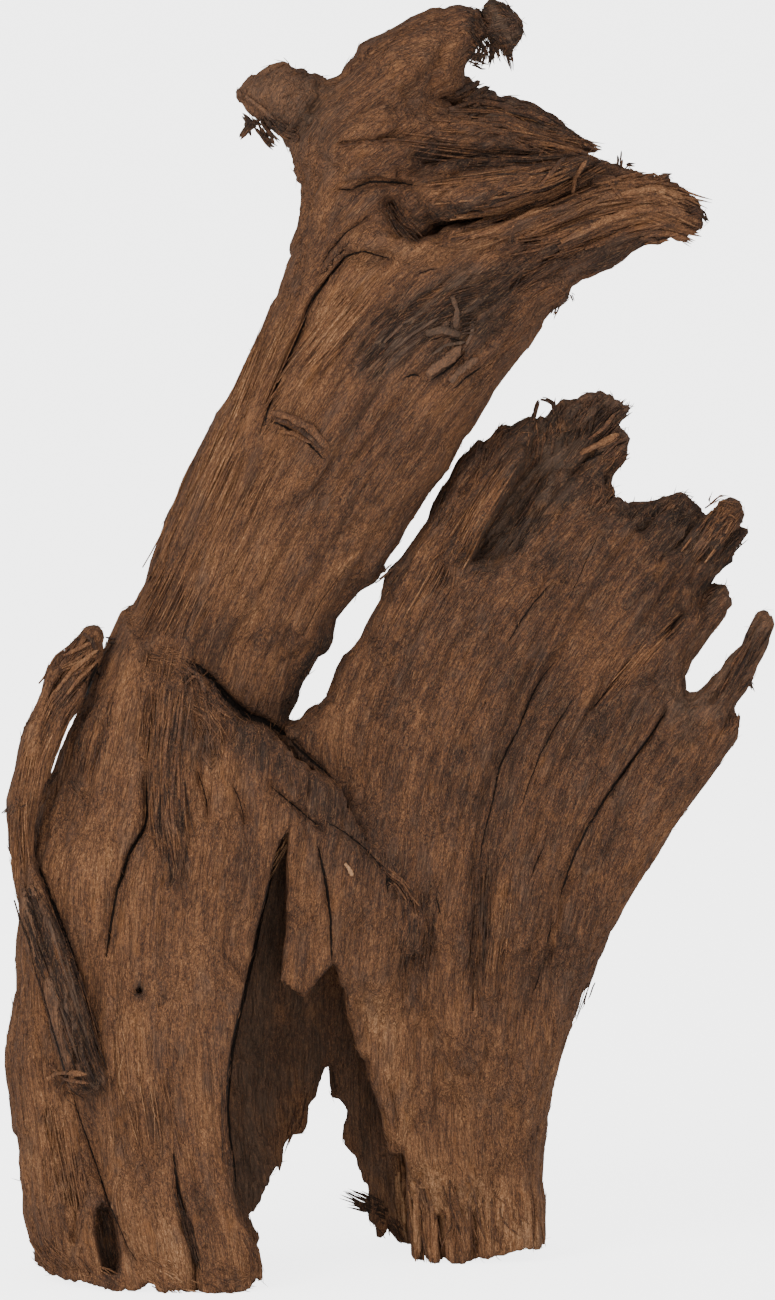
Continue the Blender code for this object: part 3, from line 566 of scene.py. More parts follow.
def skin(field):
    """Surface of a field: a point in each crossed cell, a face on each crossed edge.

    The point is the mean of the places where the field passes nought on the
    cell's edges, and the faces turn outwards, away from where it is below nought.
    """
    solid = field < 0.0
    low, high = slice(None, -1), slice(1, None)
    count = np.zeros(tuple(n - 1 for n in field.shape), np.int8)
    for corner in CORNERS:
        count += solid[tuple(high if one else low for one in corner)]
    cells = np.argwhere((count > 0) & (count < 8))
    number = np.full(count.shape, -1, np.int32)
    number[tuple(cells.T)] = np.arange(len(cells))
    total, hits = np.zeros((len(cells), 3)), np.zeros(len(cells))
    step = np.eye(3, dtype=int)
    for corner in CORNERS:
        for axis in range(3):
            if corner[axis] == 0:
                start = cells + corner
                end = start + step[axis]
                one, other = field[tuple(start.T)], field[tuple(end.T)]
                crossed = (one < 0.0) != (other < 0.0)
                part = np.where(crossed, one / np.where(crossed, one - other, 1.0), 0.0)
                total += (start + part[:, None] * step[axis]) * crossed[:, None]
                hits += crossed
    faces = []
    for axis in range(3):
        one, two = [(1, 2), (2, 0), (0, 1)][axis]
        edge = np.argwhere(np.diff(solid, axis=axis))
        edge = edge[(edge[:, one] > 0) & (edge[:, two] > 0)]
        ring = [edge - step[one] - step[two], edge - step[two], edge, edge - step[one]]
        quad = np.stack([number[tuple(corner.T)] for corner in ring], axis=1)
        outward = solid[tuple(edge.T)]
        quad[~outward] = quad[~outward][:, ::-1]
        faces.append(quad)
    return total / hits[:, None], np.vstack(faces)


def looked_up(grid, across, height):
    """Value of a drawn grid at points, blended between its four nearest values."""
    i = np.clip((across - ACROSS[0]) / CELL, 0, grid.shape[0] - 1.001)
    j = np.clip((height - TALL[0]) / CELL, 0, grid.shape[1] - 1.001)
    a, b = i.astype(int), j.astype(int)
    s, t = i - a, j - b
    low = grid[a, b] * (1 - s) + grid[a + 1, b] * s
    high = grid[a, b + 1] * (1 - s) + grid[a + 1, b + 1] * s
    return low * (1 - t) + high * t


BLOCK = (61, 67, 71)


def noise(points, seed):
    """Smooth noise in three directions, from a seeded lattice of random values."""
    lattice = np.random.default_rng(seed).uniform(-1.0, 1.0, BLOCK).astype(np.float32)
    floor = np.floor(points).astype(int)
    part = points - floor
    part = part * part * (3.0 - 2.0 * part)
    value = np.zeros(len(points))
    for corner in CORNERS:
        weight = np.prod(np.abs(1 - np.array(corner) - part), axis=1)
        value += weight * lattice[tuple(((floor + corner) % BLOCK).T)]
    return value


def make_mesh(name, points, faces):
    """A mesh from whole arrays of points and of faces with equal corner counts."""
    mesh = bpy.data.meshes.new(name)
    sides = faces.shape[1]
    mesh.vertices.add(len(points))
    mesh.vertices.foreach_set("co", np.asarray(points, np.float32).ravel())
    mesh.loops.add(faces.size)
    mesh.loops.foreach_set("vertex_index", np.asarray(faces, np.int32).ravel())
    mesh.polygons.add(len(faces))
    mesh.polygons.foreach_set("loop_start", np.arange(0, faces.size, sides, dtype=np.int32))
    mesh.polygons.foreach_set("use_smooth", np.full(len(faces), True))
    mesh.update(calc_edges=True)
    return mesh


def outward(points, faces):
    """Unit normals of the points: the summed crosses of the faces round them."""
    cross = np.cross(points[faces[:, 2]] - points[faces[:, 0]],
                     points[faces[:, -1]] - points[faces[:, 1]])
    total = np.zeros(points.shape)
    for corner in range(faces.shape[1]):
        for axis in range(3):
            total[:, axis] += np.bincount(faces[:, corner], cross[:, axis], len(points))
    return total / np.maximum(np.linalg.norm(total, axis=1), 1e-9)[:, None]


# The cracks in the front, inked dark as painted shade, and lines of painted shadow
# beside twigs and along the hollow's edge: (path, half width, depth), the sizes in millimetres
CRACKS_AND_SHADOW_LINES = [
    ([(147, 780), (148, 815), (146, 825), (140, 836), (130, 852), (124, 872), (118, 888),
      (113, 915), (110, 935), (107, 955)], 0.42, 2.6),
    ([(71, 1087), (79, 1114), (89, 1143), (100, 1174), (108, 1199), (118, 1222),
      (128, 1246), (139, 1262)], 0.20, 1.8),
    ([(174, 1150), (176, 1170), (180, 1195), (187, 1220), (195, 1246), (201, 1269)], 0.5, 2.4),
    ([(51, 1116), (56, 1141), (64, 1168), (73, 1191), (79, 1207)], 0.4, 2.4),
    ([(198, 770), (207, 800), (208, 815)], 0.16, 1.2),
    ([(233, 785), (240, 800), (245, 820)], 0.14, 1.0),
    ([(270, 785), (300, 810), (320, 827)], 0.2, 1.4),
    ([(325, 820), (345, 832), (365, 848), (392, 878), (412, 902), (420, 916)], 0.2, 1.6),
    ([(318, 845), (321, 859), (324, 873), (327, 888), (329, 904), (331, 921), (331, 939),
      (332, 961)], 0.36, 2.6),
    ([(388, 260), (376, 257), (364, 253), (352, 256), (345, 259), (337, 269), (328, 281),
      (316, 296), (308, 311), (303, 327), (295, 345), (287, 364), (279, 383), (272, 401),
      (265, 420), (260, 436)], 0.40, 2.4),
    ([(367, 220), (356, 228), (345, 236), (331, 252), (321, 268)], 0.18, 1.4),
    ([(340, 192), (352, 192), (362, 187), (370, 184), (385, 184), (400, 185), (415, 188)],
     0.32, 2.0),
    ([(415, 277), (428, 272), (439, 270)], 0.14, 1.0),
    ([(406, 379), (413, 375), (419, 377)], 0.32, 1.6),
    ([(683, 614), (669, 628), (658, 641), (650, 650)], 0.2, 1.4),
    ([(640, 655), (629, 662), (619, 674), (608, 689), (593, 708)], 0.22, 1.6),
    ([(666, 711), (659, 722), (650, 736), (640, 749), (629, 764), (616, 782), (605, 798),
      (597, 812), (588, 826), (579, 845), (570, 866), (560, 898)], 0.36, 2.4),
    ([(552, 922), (546, 948)], 0.16, 1.0),
    ([(541, 970), (535, 991)], 0.18, 1.0),
    ([(550, 584), (536, 600), (522, 619), (508, 642)], 0.24, 1.6),
    ([(600, 530), (588, 556), (576, 584), (566, 604)], 0.13, 0.8),
    ([(555, 661), (540, 680), (529, 702), (518, 730), (507, 750), (499, 769), (493, 800),
      (486, 826), (481, 852), (479, 866)], 0.24, 1.6),
    ([(577, 693), (567, 708), (553, 730), (541, 753), (530, 780), (520, 810)], 0.2, 1.4),
    ([(544, 846), (536, 864), (530, 880)], 0.16, 1.0),
    ([(386, 876), (388, 892)], 0.24, 1.2),
    ([(436, 896), (440, 914)], 0.2, 1.0),
    ([(160, 690), (150, 730), (148, 764)], 0.14, 1.0),
    ([(300, 640), (322, 600), (352, 560)], 0.1, 0.6),
    ([(188, 662), (200, 668), (212, 679), (224, 694), (236, 706), (248, 716), (262, 720),
      (276, 728), (288, 738)], 1.0, 5.0),
    ([(288, 738), (302, 752), (318, 766), (332, 778)], 0.4, 3.0),
    ([(98, 662), (90, 684), (84, 704)], 0.5, 2.6),
    ([(26, 926), (34, 962), (46, 1002), (58, 1044), (70, 1086)], 0.3, 2.2),
    ([(40, 868), (56, 910), (72, 954), (88, 1008), (98, 1050)], 0.7, 3.6),
    # These six are painted shadow: dark lines with shallow grooves along the lower edges of the knot's
    # twigs, the bark flap and the fan's twig.
    ([(430, 382), (441, 375), (454, 365), (465, 353)], 0.30, 1.2),
    ([(428, 342), (444, 338), (462, 343)], 0.26, 1.0),
    ([(446, 300), (451, 314), (449, 333)], 0.26, 1.0),
    ([(455, 389), (466, 378), (483, 367)], 0.26, 1.0),
    ([(270, 421), (288, 429), (307, 442), (324, 460)], 0.36, 1.5),
    ([(582, 463), (602, 453), (626, 441)], 0.36, 1.6),
    ([(60, 710), (80, 684), (103, 664)], 0.24, 1.4),
    ([(170, 700), (162, 760), (166, 830), (172, 880)], 0.22, 1.2),
    # Painted shadow: a thin dark line just inside the left leg's edge at the hollow, over a shallow
    # groove.
    ([(286, 832), (277, 850), (270, 882), (261, 918), (253, 956), (244, 996), (236, 1030),
      (231, 1056), (228, 1084), (227, 1112), (229, 1140), (233, 1166), (235, 1190)], 0.5, 0.4),
]
# Each grid point takes its distance from the nearest crack, signed by the side it is
# on, and that crack's width and depth, which taper to a small share at both ends.
CRACK_FAR, CRACK_REACH, CRACK_END = 50.0, 2.6, 0.15
crack_near, crack_side = np.full((2, *X.shape), CRACK_FAR, np.float32)
crack_width, crack_depth = np.zeros((2, *X.shape), np.float32)
for crack_path, half_width, depth in CRACKS_AND_SHADOW_LINES:
    line = drawn(crack_path)
    lengths = np.hypot(*np.diff(line, axis=0).T)
    done = 0.0
    for (ax, az), (bx, bz), length in zip(line[:-1], line[1:], lengths):
        t, away = to_segment(ax, az, bx, bz)
        side = np.sign((X - ax) * (bz - az) - (V - az) * (bx - ax))
        place = (done + t * length) / lengths.sum()
        taper = np.sqrt(np.clip(4.0 * place * (1.0 - place), 0.0, 1.0))
        taper = taper * (1.0 - CRACK_END) + CRACK_END
        within = half_width * taper * (away < CRACK_REACH + half_width)
        closer = away < crack_near
        crack_near, crack_side, crack_width, crack_depth = [
            np.where(closer, new, old) for new, old in (
                (away, crack_near), (away * side, crack_side),
                (within, crack_width), (depth * taper, crack_depth))]
        done += length

# Marks on the front: (path, width in millimetres, strength). First the dark places, fibrous
# stains with painted shade among them, then the warm brown ones, which also paint light on
# the lit sides, then the grey ones.
STAINS_AND_SHADE = [
    ([(376, 356), (420, 320), (466, 290)], 7.5, 1.0), ([(440, 366), (470, 330)], 6.0, 0.7),
    # These three are partly darker wood and partly painted shade: the head's shadow over the fan's top
    # and the shade in its valley.
    ([(540, 420), (640, 500), (720, 540)], 16.0, 0.9),
    ([(486, 546), (522, 500), (556, 448)], 11.0, 0.92),
    ([(606, 424), (580, 450), (560, 500)], 9.0, 0.85),
    # These two are painted shade on the trunk's right flank below the fork, where it turns away from
    # the light.
    ([(300, 700), (340, 640), (400, 566)], 6.0, 0.6),
    ([(288, 712), (306, 676), (328, 640)], 3.6, 0.95),
    ([(174, 690), (166, 780), (172, 880)], 3.0, 0.6),
    ([(428, 890), (420, 940), (418, 1000)], 5.0, 0.34),
    ([(490, 800), (486, 920), (476, 1060)], 6.0, 0.34),
    ([(50, 920), (70, 1000), (96, 1080)], 4.0, 0.65),
    ([(420, 226), (520, 200), (600, 170)], 5.0, 0.8), ([(424, 158), (493, 160)], 5.0, 0.8),
    ([(604, 420), (588, 440)], 5.0, 0.8), ([(732, 546), (712, 590)], 4.5, 1.0),
    ([(600, 190), (690, 215)], 6.0, 0.5), ([(745, 640), (725, 710)], 6.0, 0.6),
    ([(490, 110), (560, 130)], 6.0, 0.8), ([(490, 10), (510, 50)], 6.0, 0.8),
    ([(314, 110), (302, 134)], 3.5, 0.7), ([(640, 730), (690, 770)], 7.0, 0.3),
    ([(240, 726), (290, 766), (350, 830)], 10.0, 0.58), ([(400, 880), (340, 820)], 8.0, 0.4),
    ([(500, 620), (560, 720), (660, 700)], 28.0, 0.36),
    ([(430, 640), (440, 740), (500, 840)], 24.0, 0.30), ([(600, 860), (560, 960)], 12.0, 0.3),
    ([(300, 500), (390, 440)], 18.0, 0.26), ([(550, 250), (600, 252), (660, 236)], 8.0, 0.6),
    ([(520, 264), (480, 330)], 8.0, 0.7), ([(80, 1160), (90, 1230)], 4.0, 0.4),
    ([(200, 1200), (206, 1270)], 4.0, 0.4), ([(260, 480), (240, 540)], 5.0, 0.3),
    ([(140, 840), (112, 940)], 3.0, 0.35), ([(104, 1206), (108, 1240), (112, 1276)], 3.2, 1.2),
    ([(141, 990), (141, 992)], 1.8, 1.6), ([(320, 140), (420, 130), (480, 150)], 12.0, 0.22),
    ([(500, 180), (600, 220)], 12.0, 0.36), ([(100, 980), (110, 1100)], 16.0, 0.14),
    ([(560, 560), (680, 600)], 22.0, 0.46), ([(190, 630), (300, 640)], 6.0, 0.3),
    ([(720, 550), (706, 590)], 3.0, 0.9), ([(612, 412), (590, 446)], 2.6, 0.9),
    ([(46, 1150), (66, 1230)], 2.4, 0.5),
]
# Warm places, painted lighter: partly the wood's warmer colour, partly painted light on the sides
# facing the key lamp, down the left of the trunk and of the left leg.
WARM_AND_LIT = [
    ([(120, 900), (130, 1200)], 24.0, 0.8), ([(250, 600), (300, 350)], 16.0, 0.5),
    ([(360, 250), (520, 250)], 8.0, 0.9), ([(50, 1160), (120, 1240), (230, 1260)], 16.0, 1.3),
    ([(460, 1020), (480, 1240)], 16.0, 0.9), ([(600, 900), (660, 830)], 10.0, 0.5),
    ([(340, 140), (400, 120)], 12.0, 0.5), ([(495, 900), (500, 960)], 3.0, 0.9),
    ([(610, 650), (590, 690)], 5.0, 0.6), ([(640, 560), (600, 620)], 12.0, 0.3),
    ([(376, 1010), (400, 1080), (408, 1150)], 7.0, 1.7), ([(430, 1200), (530, 1236)], 16.0, 2.2),
    ([(250, 960), (300, 1080), (360, 1190)], 16.0, 0.3), ([(150, 730), (230, 800)], 10.0, 0.8),
    ([(130, 680), (120, 760)], 6.0, 1.2), ([(210, 720), (240, 780)], 5.0, 1.2),
    ([(60, 1100), (60, 1200)], 5.0, 1.2), ([(30, 700), (60, 860)], 4.0, 1.0),
    ([(240, 640), (250, 610)], 5.0, 1.2), ([(500, 880), (492, 960)], 2.0, 1.6),
    ([(560, 1060), (552, 1120)], 3.0, 1.4), ([(368, 280), (330, 340)], 4.0, 1.3),
    ([(240, 760), (250, 800)], 4.0, 0.6), ([(305, 860), (320, 940)], 5.0, 0.9),
    ([(330, 290), (300, 400)], 4.0, 0.8), ([(440, 196), (515, 182)], 6.0, 0.8),
    ([(720, 500), (738, 520)], 5.0, 0.9),
]
GREYS = [
    ([(500, 530), (530, 490), (560, 440)], 9.0, 0.26), ([(580, 410), (620, 420)], 8.0, 0.22),
    ([(250, 80), (300, 110)], 12.0, 0.24), ([(380, 352), (462, 292)], 8.0, 0.3),
    ([(30, 900), (66, 1010), (96, 1080)], 4.0, 0.4), ([(690, 700), (760, 630)], 8.0, 0.25),
    ([(480, 110), (560, 130)], 6.0, 0.3), ([(500, 10), (510, 50)], 5.0, 0.3),
]
# Painted shade inside the hollow: marks that make the wood there darker and greyer. They
# begin at a depth and fade in over a few millimetres.
INSIDE_SHADE = [
    ([(280, 860), (262, 960), (250, 1080), (250, 1200)], 9.0, 1.0),
    ([(300, 1000), (310, 1080)], 9.0, 0.8), ([(340, 1010), (360, 1100), (390, 1200)], 8.0, 0.7),
]
INSIDE_DEPTH, INSIDE_FADE = 12.0, 6.0
INSIDE_SHADE_DARK, INSIDE_GREY = 0.4, 0.36


def painted(marks):
    """Strength of soft marks: the greatest of the bells round their paths."""
    strength = np.zeros(X.shape, np.float32)
    for path, width, strong in marks:
        bell = strong * np.exp(-(distance_to_path(drawn(path)) / width) ** 2)
        strength = np.maximum(strength, bell)
    return strength


stain_and_shade_map, warm_and_lit_map, grey_map = painted(STAINS_AND_SHADE), painted(WARM_AND_LIT), painted(GREYS)

grid_points, quads = skin(wood)
del wood
flat_across = ACROSS[0] + grid_points[:, 0] * CELL
flat_depth = DEPTH[0] + grid_points[:, 1] * CELL
flat_height = TALL[0] + grid_points[:, 2] * CELL


def stand(across, depth, height):
    """Drawn places as metres, with the height above the floor.

    That is the drawn height over the cosine of the tilt, less the depth times its
    tangent.
    """
    up = height / math.cos(TILT) - depth * math.tan(TILT)
    return np.column_stack([across, depth - MIDDLE_DEPTH, up]) * 0.001


def lie(points):
    """Metres as drawn places across, in depth and up: the other way round."""
    depth = points[:, 1] * 1000.0 + MIDDLE_DEPTH
    height = (points[:, 2] * 1000.0 + depth * math.tan(TILT)) * math.cos(TILT)
    return points[:, 0] * 1000.0, depth, height


def grain_place(across, depth, height):
    """Millimetres across the grain, in depth and along the grain."""
    return np.column_stack([looked_up(grain_across, across, height), depth,
                            looked_up(grain_along, across, height)])


def front_share(normals):
    """How far a surface faces the front: 1 towards it, 0 from the rim backwards."""
    return np.clip(-normals[:, 1] * 2.5, 0.0, 1.0)


# Worn relief of the whole skin: (size across, size along, height, seed), millimetres
FURROWS = [(6.0, 60.0, 0.50, 3), (2.7, 30.0, 0.34, 5), (1.5, 15.0, 0.20, 7)]
LUMPS = [(9.0, 14.0, 0.48, 9), (4.0, 6.0, 0.22, 13)]
FURROW_DEEP, FURROW_SHARP = 2.2, 2.2
STAIN_ROUGHER, GROOVE_LEAST, CRACK_THERE = 0.9, 0.30, 0.02

skin_points = stand(flat_across, flat_depth, flat_height)
skin_normals = outward(skin_points, quads)
grain_points = grain_place(flat_across, flat_depth, flat_height)
lift = np.zeros(len(skin_points))
for wide, long, height, seed in FURROWS:
    wave = noise(grain_points / (wide, wide, long), seed)
    valley = 1.0 - np.minimum(np.abs(wave) * FURROW_SHARP, 1.0)
    lift += height * (1.0 - FURROW_DEEP * valley ** 2)
for wide, long, height, seed in LUMPS:
    lift += height * noise(grain_points / (wide, wide, long), seed)
facing = front_share(skin_normals)
skin_stain_and_shade, gap, width, depth = [looked_up(grid, flat_across, flat_height) for grid in
                              (stain_and_shade_map, crack_side, crack_width, crack_depth)]
lift *= 1.0 + STAIN_ROUGHER * skin_stain_and_shade * facing
lift -= facing * depth * np.exp(-(gap / (width + GROOVE_LEAST)) ** 2) * (width > CRACK_THERE)
skin_points += skin_normals * lift[:, None] * 0.001
skin_points[:, 2] = np.maximum(skin_points[:, 2], 0.0)

# Depth of the finished front over the drawn grid, millimetres. Single cells that hold
# the back take the middle value of those round them, and the map is carried a few
# cells past its edges.
NO_FRONT, PIT_STEP, PIT_ROUNDS, CARRIED = 200.0, 1.5, 3, 24
AROUND = [(a, b) for a in (-1, 0, 1) for b in (-1, 0, 1)]
front_across, front_depth, front_height = lie(skin_points)
i = np.clip(np.round((front_across - ACROSS[0]) / CELL).astype(int), 0, X.shape[0] - 1)
j = np.clip(np.round((front_height - TALL[0]) / CELL).astype(int), 0, X.shape[1] - 1)
front_map = np.full(X.shape, NO_FRONT, np.float32)
np.minimum.at(front_map, (i, j), front_depth.astype(np.float32))
for _ in range(PIT_ROUNDS):
    middle = np.median([np.roll(front_map, shift, (0, 1)) for shift in AROUND], 0)
    front_map = np.where(front_map > middle + PIT_STEP, middle, front_map)
known = front_map < NO_FRONT
covered = known.astype(np.float32)
for _ in range(CARRIED):
    total, hits = np.zeros(X.shape, np.float32), np.zeros(X.shape, np.float32)
    for shift, axis in ((1, 0), (-1, 0), (1, 1), (-1, 1)):
        total += np.roll(front_map * known, shift, axis)
        hits += np.roll(known, shift, axis)
    grown = ~known & (hits > 0)
    front_map = np.where(grown, total / np.maximum(hits, 1), front_map)
    known |= grown
front_map = np.where(known, front_map, 0.0)

full = bpy.data.objects.new("full skin", make_mesh("full skin", skin_points, quads))
bpy.context.scene.collection.objects.link(full)
fewer = full.modifiers.new("fewer faces", "DECIMATE")
fewer.ratio = min(1.0, SKIN_TRIANGLES / (2.0 * len(quads)))
fewer.use_collapse_triangulate = True
body_mesh = bpy.data.meshes.new_from_object(
    full.evaluated_get(bpy.context.evaluated_depsgraph_get()))
bpy.data.objects.remove(full)
body_mesh.name = "driftwood_body"
body = bpy.data.objects.new("driftwood_body", body_mesh)
bpy.context.scene.collection.objects.link(body)


def read_points(mesh):
    """The mesh's points and normals as arrays."""
    points = np.empty(len(mesh.vertices) * 3, np.float32)
    mesh.vertices.foreach_get("co", points)
    normals = np.empty(len(mesh.vertices) * 3, np.float32)
    mesh.vertex_normals.foreach_get("vector", normals)
    return points.reshape(-1, 3), normals.reshape(-1, 3)


def add_vectors(mesh, name, table):
    """A vector at each point, for the material to read by name."""
    layer = mesh.attributes.new(name, "FLOAT_VECTOR", "POINT")
    layer.data.foreach_set("vector", np.asarray(table, np.float32).ravel())


def on_body(grid):
    """Value of a drawn grid at each point of the body."""
    return looked_up(grid, body_place[0], body_place[2])


CRACK_FACING = 0.15
body_points, body_normals = read_points(body_mesh)
body_place = lie(body_points)
body_facing = front_share(body_normals)
# Painted shade: the hollow's walls are darkened from a depth behind the front.
body_inside_shade = on_body(painted(INSIDE_SHADE)) * body_facing \
    * np.clip((body_place[1] - INSIDE_DEPTH) / INSIDE_FADE, 0.0, 1.0)
add_vectors(body_mesh, "grain", grain_place(*body_place))
add_vectors(body_mesh, "crack", np.column_stack([
    on_body(crack_side), on_body(crack_width) * (body_facing > CRACK_FACING),
    np.zeros(len(body_points))]))
# The tint: stains with painted shade, and painted shade in the hollow; warm places with painted light;
# grey places.
add_vectors(body_mesh, "tint", np.column_stack([
    on_body(stain_and_shade_map) * body_facing + INSIDE_SHADE_DARK * body_inside_shade,
    on_body(warm_and_lit_map) * body_facing,
    on_body(grey_map) * body_facing + INSIDE_GREY * body_inside_shade]))


# The material: weathered wood. Colour, roughness and bump come from noise stretched
# along the grain. Each piece carries its grain, in millimetres, and its stains with painted
# shade, warm places with painted light, grey places and cracks at its points.


class Nodes:
    """Short calls for adding shader nodes to one tree and joining them."""

    def __init__(self, tree):
        self.tree = tree

    def add(self, kind, settings=None, **inputs):
        """A node of one kind, with its settings and with its inputs by name."""
        node = self.tree.nodes.new(kind)
        for key, value in (settings or {}).items():
            setattr(node, key, value)
        for key, value in inputs.items():
            self.feed(node.inputs[key.replace("_", " ")], value)
        return node

    def feed(self, socket, value):
        """Joins an output to a socket, or sets the socket's own value."""
        if isinstance(value, bpy.types.NodeSocket):
            self.tree.links.new(value, socket)
        else:
            socket.default_value = value

    def math(self, operation, one, two=0.0, clamp=False):
        """A sum, product or other function of one or two values."""
        node = self.tree.nodes.new("ShaderNodeMath")
        node.operation, node.use_clamp = operation, clamp
        self.feed(node.inputs[0], one)
        self.feed(node.inputs[1], two)
        return node.outputs[0]

    def total(self, *parts):
        """The sum of some values, each times its weight: (value, weight)."""
        terms = [self.math("MULTIPLY", value, weight) for value, weight in parts]
        result = terms[0]
        for term in terms[1:]:
            result = self.math("ADD", result, term)
        return result

    def mix(self, amount, one, two):
        """Two colours mixed by an amount."""
        node = self.tree.nodes.new("ShaderNodeMix")
        node.data_type = "RGBA"
        self.feed(node.inputs[0], amount)
        self.feed(node.inputs[6], one)
        self.feed(node.inputs[7], two)
        return node.outputs[2]

    def ramp(self, value, low, high, start=0.0, end=1.0):
        """A value carried smoothly from one range to another."""
        node = self.tree.nodes.new("ShaderNodeMapRange")
        node.interpolation_type = "SMOOTHSTEP"
        for socket, given in zip(node.inputs[:5], (value, low, high, start, end)):
            self.feed(socket, given)
        return node.outputs[0]

    def noise(self, grain, across, along, detail=3.0, rough=0.55, twist=0.0):
        """Fractal noise of a size across and a size along the grain, millimetres."""
        place = self.tree.nodes.new("ShaderNodeVectorMath")
        place.operation = "MULTIPLY"
        self.feed(place.inputs[0], grain)
        place.inputs[1].default_value = (1.0 / across, 1.0 / across, 1.0 / along)
        node = self.add("ShaderNodeTexNoise", Vector=place.outputs[0], Scale=1.0,
                        Detail=detail, Roughness=rough, Distortion=twist)
        return node.outputs["Fac"]

    def lines(self, grain, across, along, middle, width, strength):
        """Thin lines along the grain, strongest where noise passes a middle value."""
        away = self.math("SUBTRACT", self.noise(grain, across, along, 2.0), middle)
        return self.ramp(self.math("ABSOLUTE", away), 0.0, width, strength, 0.0)

    def carried(self, name):
        """The vector of that name which a piece carries at its points."""
        return self.add("ShaderNodeAttribute", {"attribute_name": name}).outputs["Vector"]

    def parts(self, vector):
        """The three numbers of a vector, as X, Y and Z."""
        return self.add("ShaderNodeSeparateXYZ", Vector=vector).outputs


# Browns of the wood from dark to light, at their places on a scale of lightness
BROWNS = [
    (0.0, (0.016, 0.010, 0.0075)), (0.28, (0.052, 0.0252, 0.0152)),
    (0.52, (0.122, 0.0525, 0.0245)), (0.76, (0.212, 0.099, 0.0440)), (1.0, (0.360, 0.200, 0.104)),
]
GREY_WOOD, SILVER_WOOD = (0.078, 0.047, 0.033, 1.0), (0.135, 0.088, 0.060, 1.0)
RUST, PALE_WOOD = (0.205, 0.086, 0.030, 1.0), (0.300, 0.165, 0.082, 1.0)
PORE_DARK, CRACK_SHADE_INK = (0.024, 0.012, 0.008, 1.0), (0.010, 0.006, 0.004, 1.0)
MEAN_LIGHT, CONTRAST = 1.119, 1.7


def fibre_group():
    """Weathered fibre pattern, read along the grain.

    Lightness is the weighted sum of bands, streaks, fibres, specks and blotches, more
    at warm places, which are also painted light, and less at stains, which are also painted
    shade, and picks a brown. Grey, rust, pale lines, dark pores and flecks are mixed over it in turn.
    """
    tree = bpy.data.node_groups.new("weathered fibres", "ShaderNodeTree")
    for name, kind in (("Grain", "NodeSocketVector"), ("Stain", "NodeSocketFloat"),
                       ("Warm", "NodeSocketFloat"), ("Grey", "NodeSocketFloat")):
        tree.interface.new_socket(name, in_out="INPUT", socket_type=kind)
    for name, kind in (("Colour", "NodeSocketColor"), ("Height", "NodeSocketFloat"),
                       ("Roughness", "NodeSocketFloat")):
        tree.interface.new_socket(name, in_out="OUTPUT", socket_type=kind)
    n = Nodes(tree)
    given = n.add("NodeGroupInput").outputs
    grain = given["Grain"]
    band = n.noise(grain, 14.0, 60.0, 2.0)
    streak = n.noise(grain, 2.2, 20.0, 4.0, 0.6, 0.6)
    fibre = n.noise(grain, 0.55, 3.4, 3.0, 0.6, 0.5)
    speck = n.noise(grain, 0.42, 0.9, 2.0, 0.6)
    dust = n.noise(grain, 0.20, 0.34, 1.0, 0.6)
    blotch = n.noise(grain, 6.0, 9.0, 4.0, 0.62, 0.5)
    pore = n.lines(grain, 1.6, 22.0, 0.5, 0.045, 1.0)
    hair = n.lines(grain, 0.7, 9.0, 0.5, 0.035, 1.0)
    pale = n.lines(grain, 0.9, 12.0, 0.52, 0.03, 0.30)
    mottle = n.ramp(n.noise(grain, 1.7, 10.0, 4.0, 0.65), 0.32, 0.62, 0.5, 1.2)
    fleck = n.ramp(n.noise(grain, 0.8, 2.0, 2.0), 0.64, 0.74, 0.0, 0.5)
    grey = n.ramp(n.noise(grain, 6.0, 14.0), 0.50, 0.72, 0.0, 0.45)
    rust = n.ramp(n.noise(grain, 5.0, 11.0, 4.0, 0.6, 0.6), 0.55, 0.74, 0.0, 0.5)
    rust = n.math("MULTIPLY", rust, n.math("ADD", n.math("MULTIPLY", given["Warm"], 0.7), 0.5))
    stain_and_shade = n.math("MULTIPLY", given["Stain"], mottle)
    # Warm places add light, partly as painted light. Stains take it off, partly as painted shade.
    light = n.total((streak, 0.34), (fibre, 0.24), (speck, 0.62), (dust, 0.46),
                    (blotch, 0.24), (band, 0.28), (given["Warm"], 0.085), (stain_and_shade, -0.28))
    light = n.math("MULTIPLY", n.math("SUBTRACT", light, MEAN_LIGHT), CONTRAST)
    ramp = tree.nodes.new("ShaderNodeValToRGB")
    while len(ramp.color_ramp.elements) < len(BROWNS):
        ramp.color_ramp.elements.new(0.5)
    for stop, (place, brown) in zip(ramp.color_ramp.elements, BROWNS):
        stop.position, stop.color = place, (*brown, 1.0)
    n.feed(ramp.inputs[0], n.math("ADD", light, 0.5, clamp=True))
    colour = n.mix(grey, ramp.outputs[0], GREY_WOOD)
    colour = n.mix(rust, colour, RUST)
    colour = n.mix(pale, colour, PALE_WOOD)
    colour = n.mix(given["Grey"], colour, SILVER_WOOD)
    dark = n.math("MAXIMUM", n.math("MULTIPLY", n.math("MAXIMUM", pore, hair), 0.32), fleck)
    colour = n.mix(dark, colour, PORE_DARK)
    height = n.total((streak, 0.55), (fibre, 0.42), (speck, 0.30), (pore, -0.35))
    n.add("NodeGroupOutput", Colour=colour, Height=height,
          Roughness=n.ramp(fibre, 0.3, 0.7, 0.80, 0.98))
    return tree


FIBRES = fibre_group()
SHINE, BUMP_TALL = 0.22, 0.0009


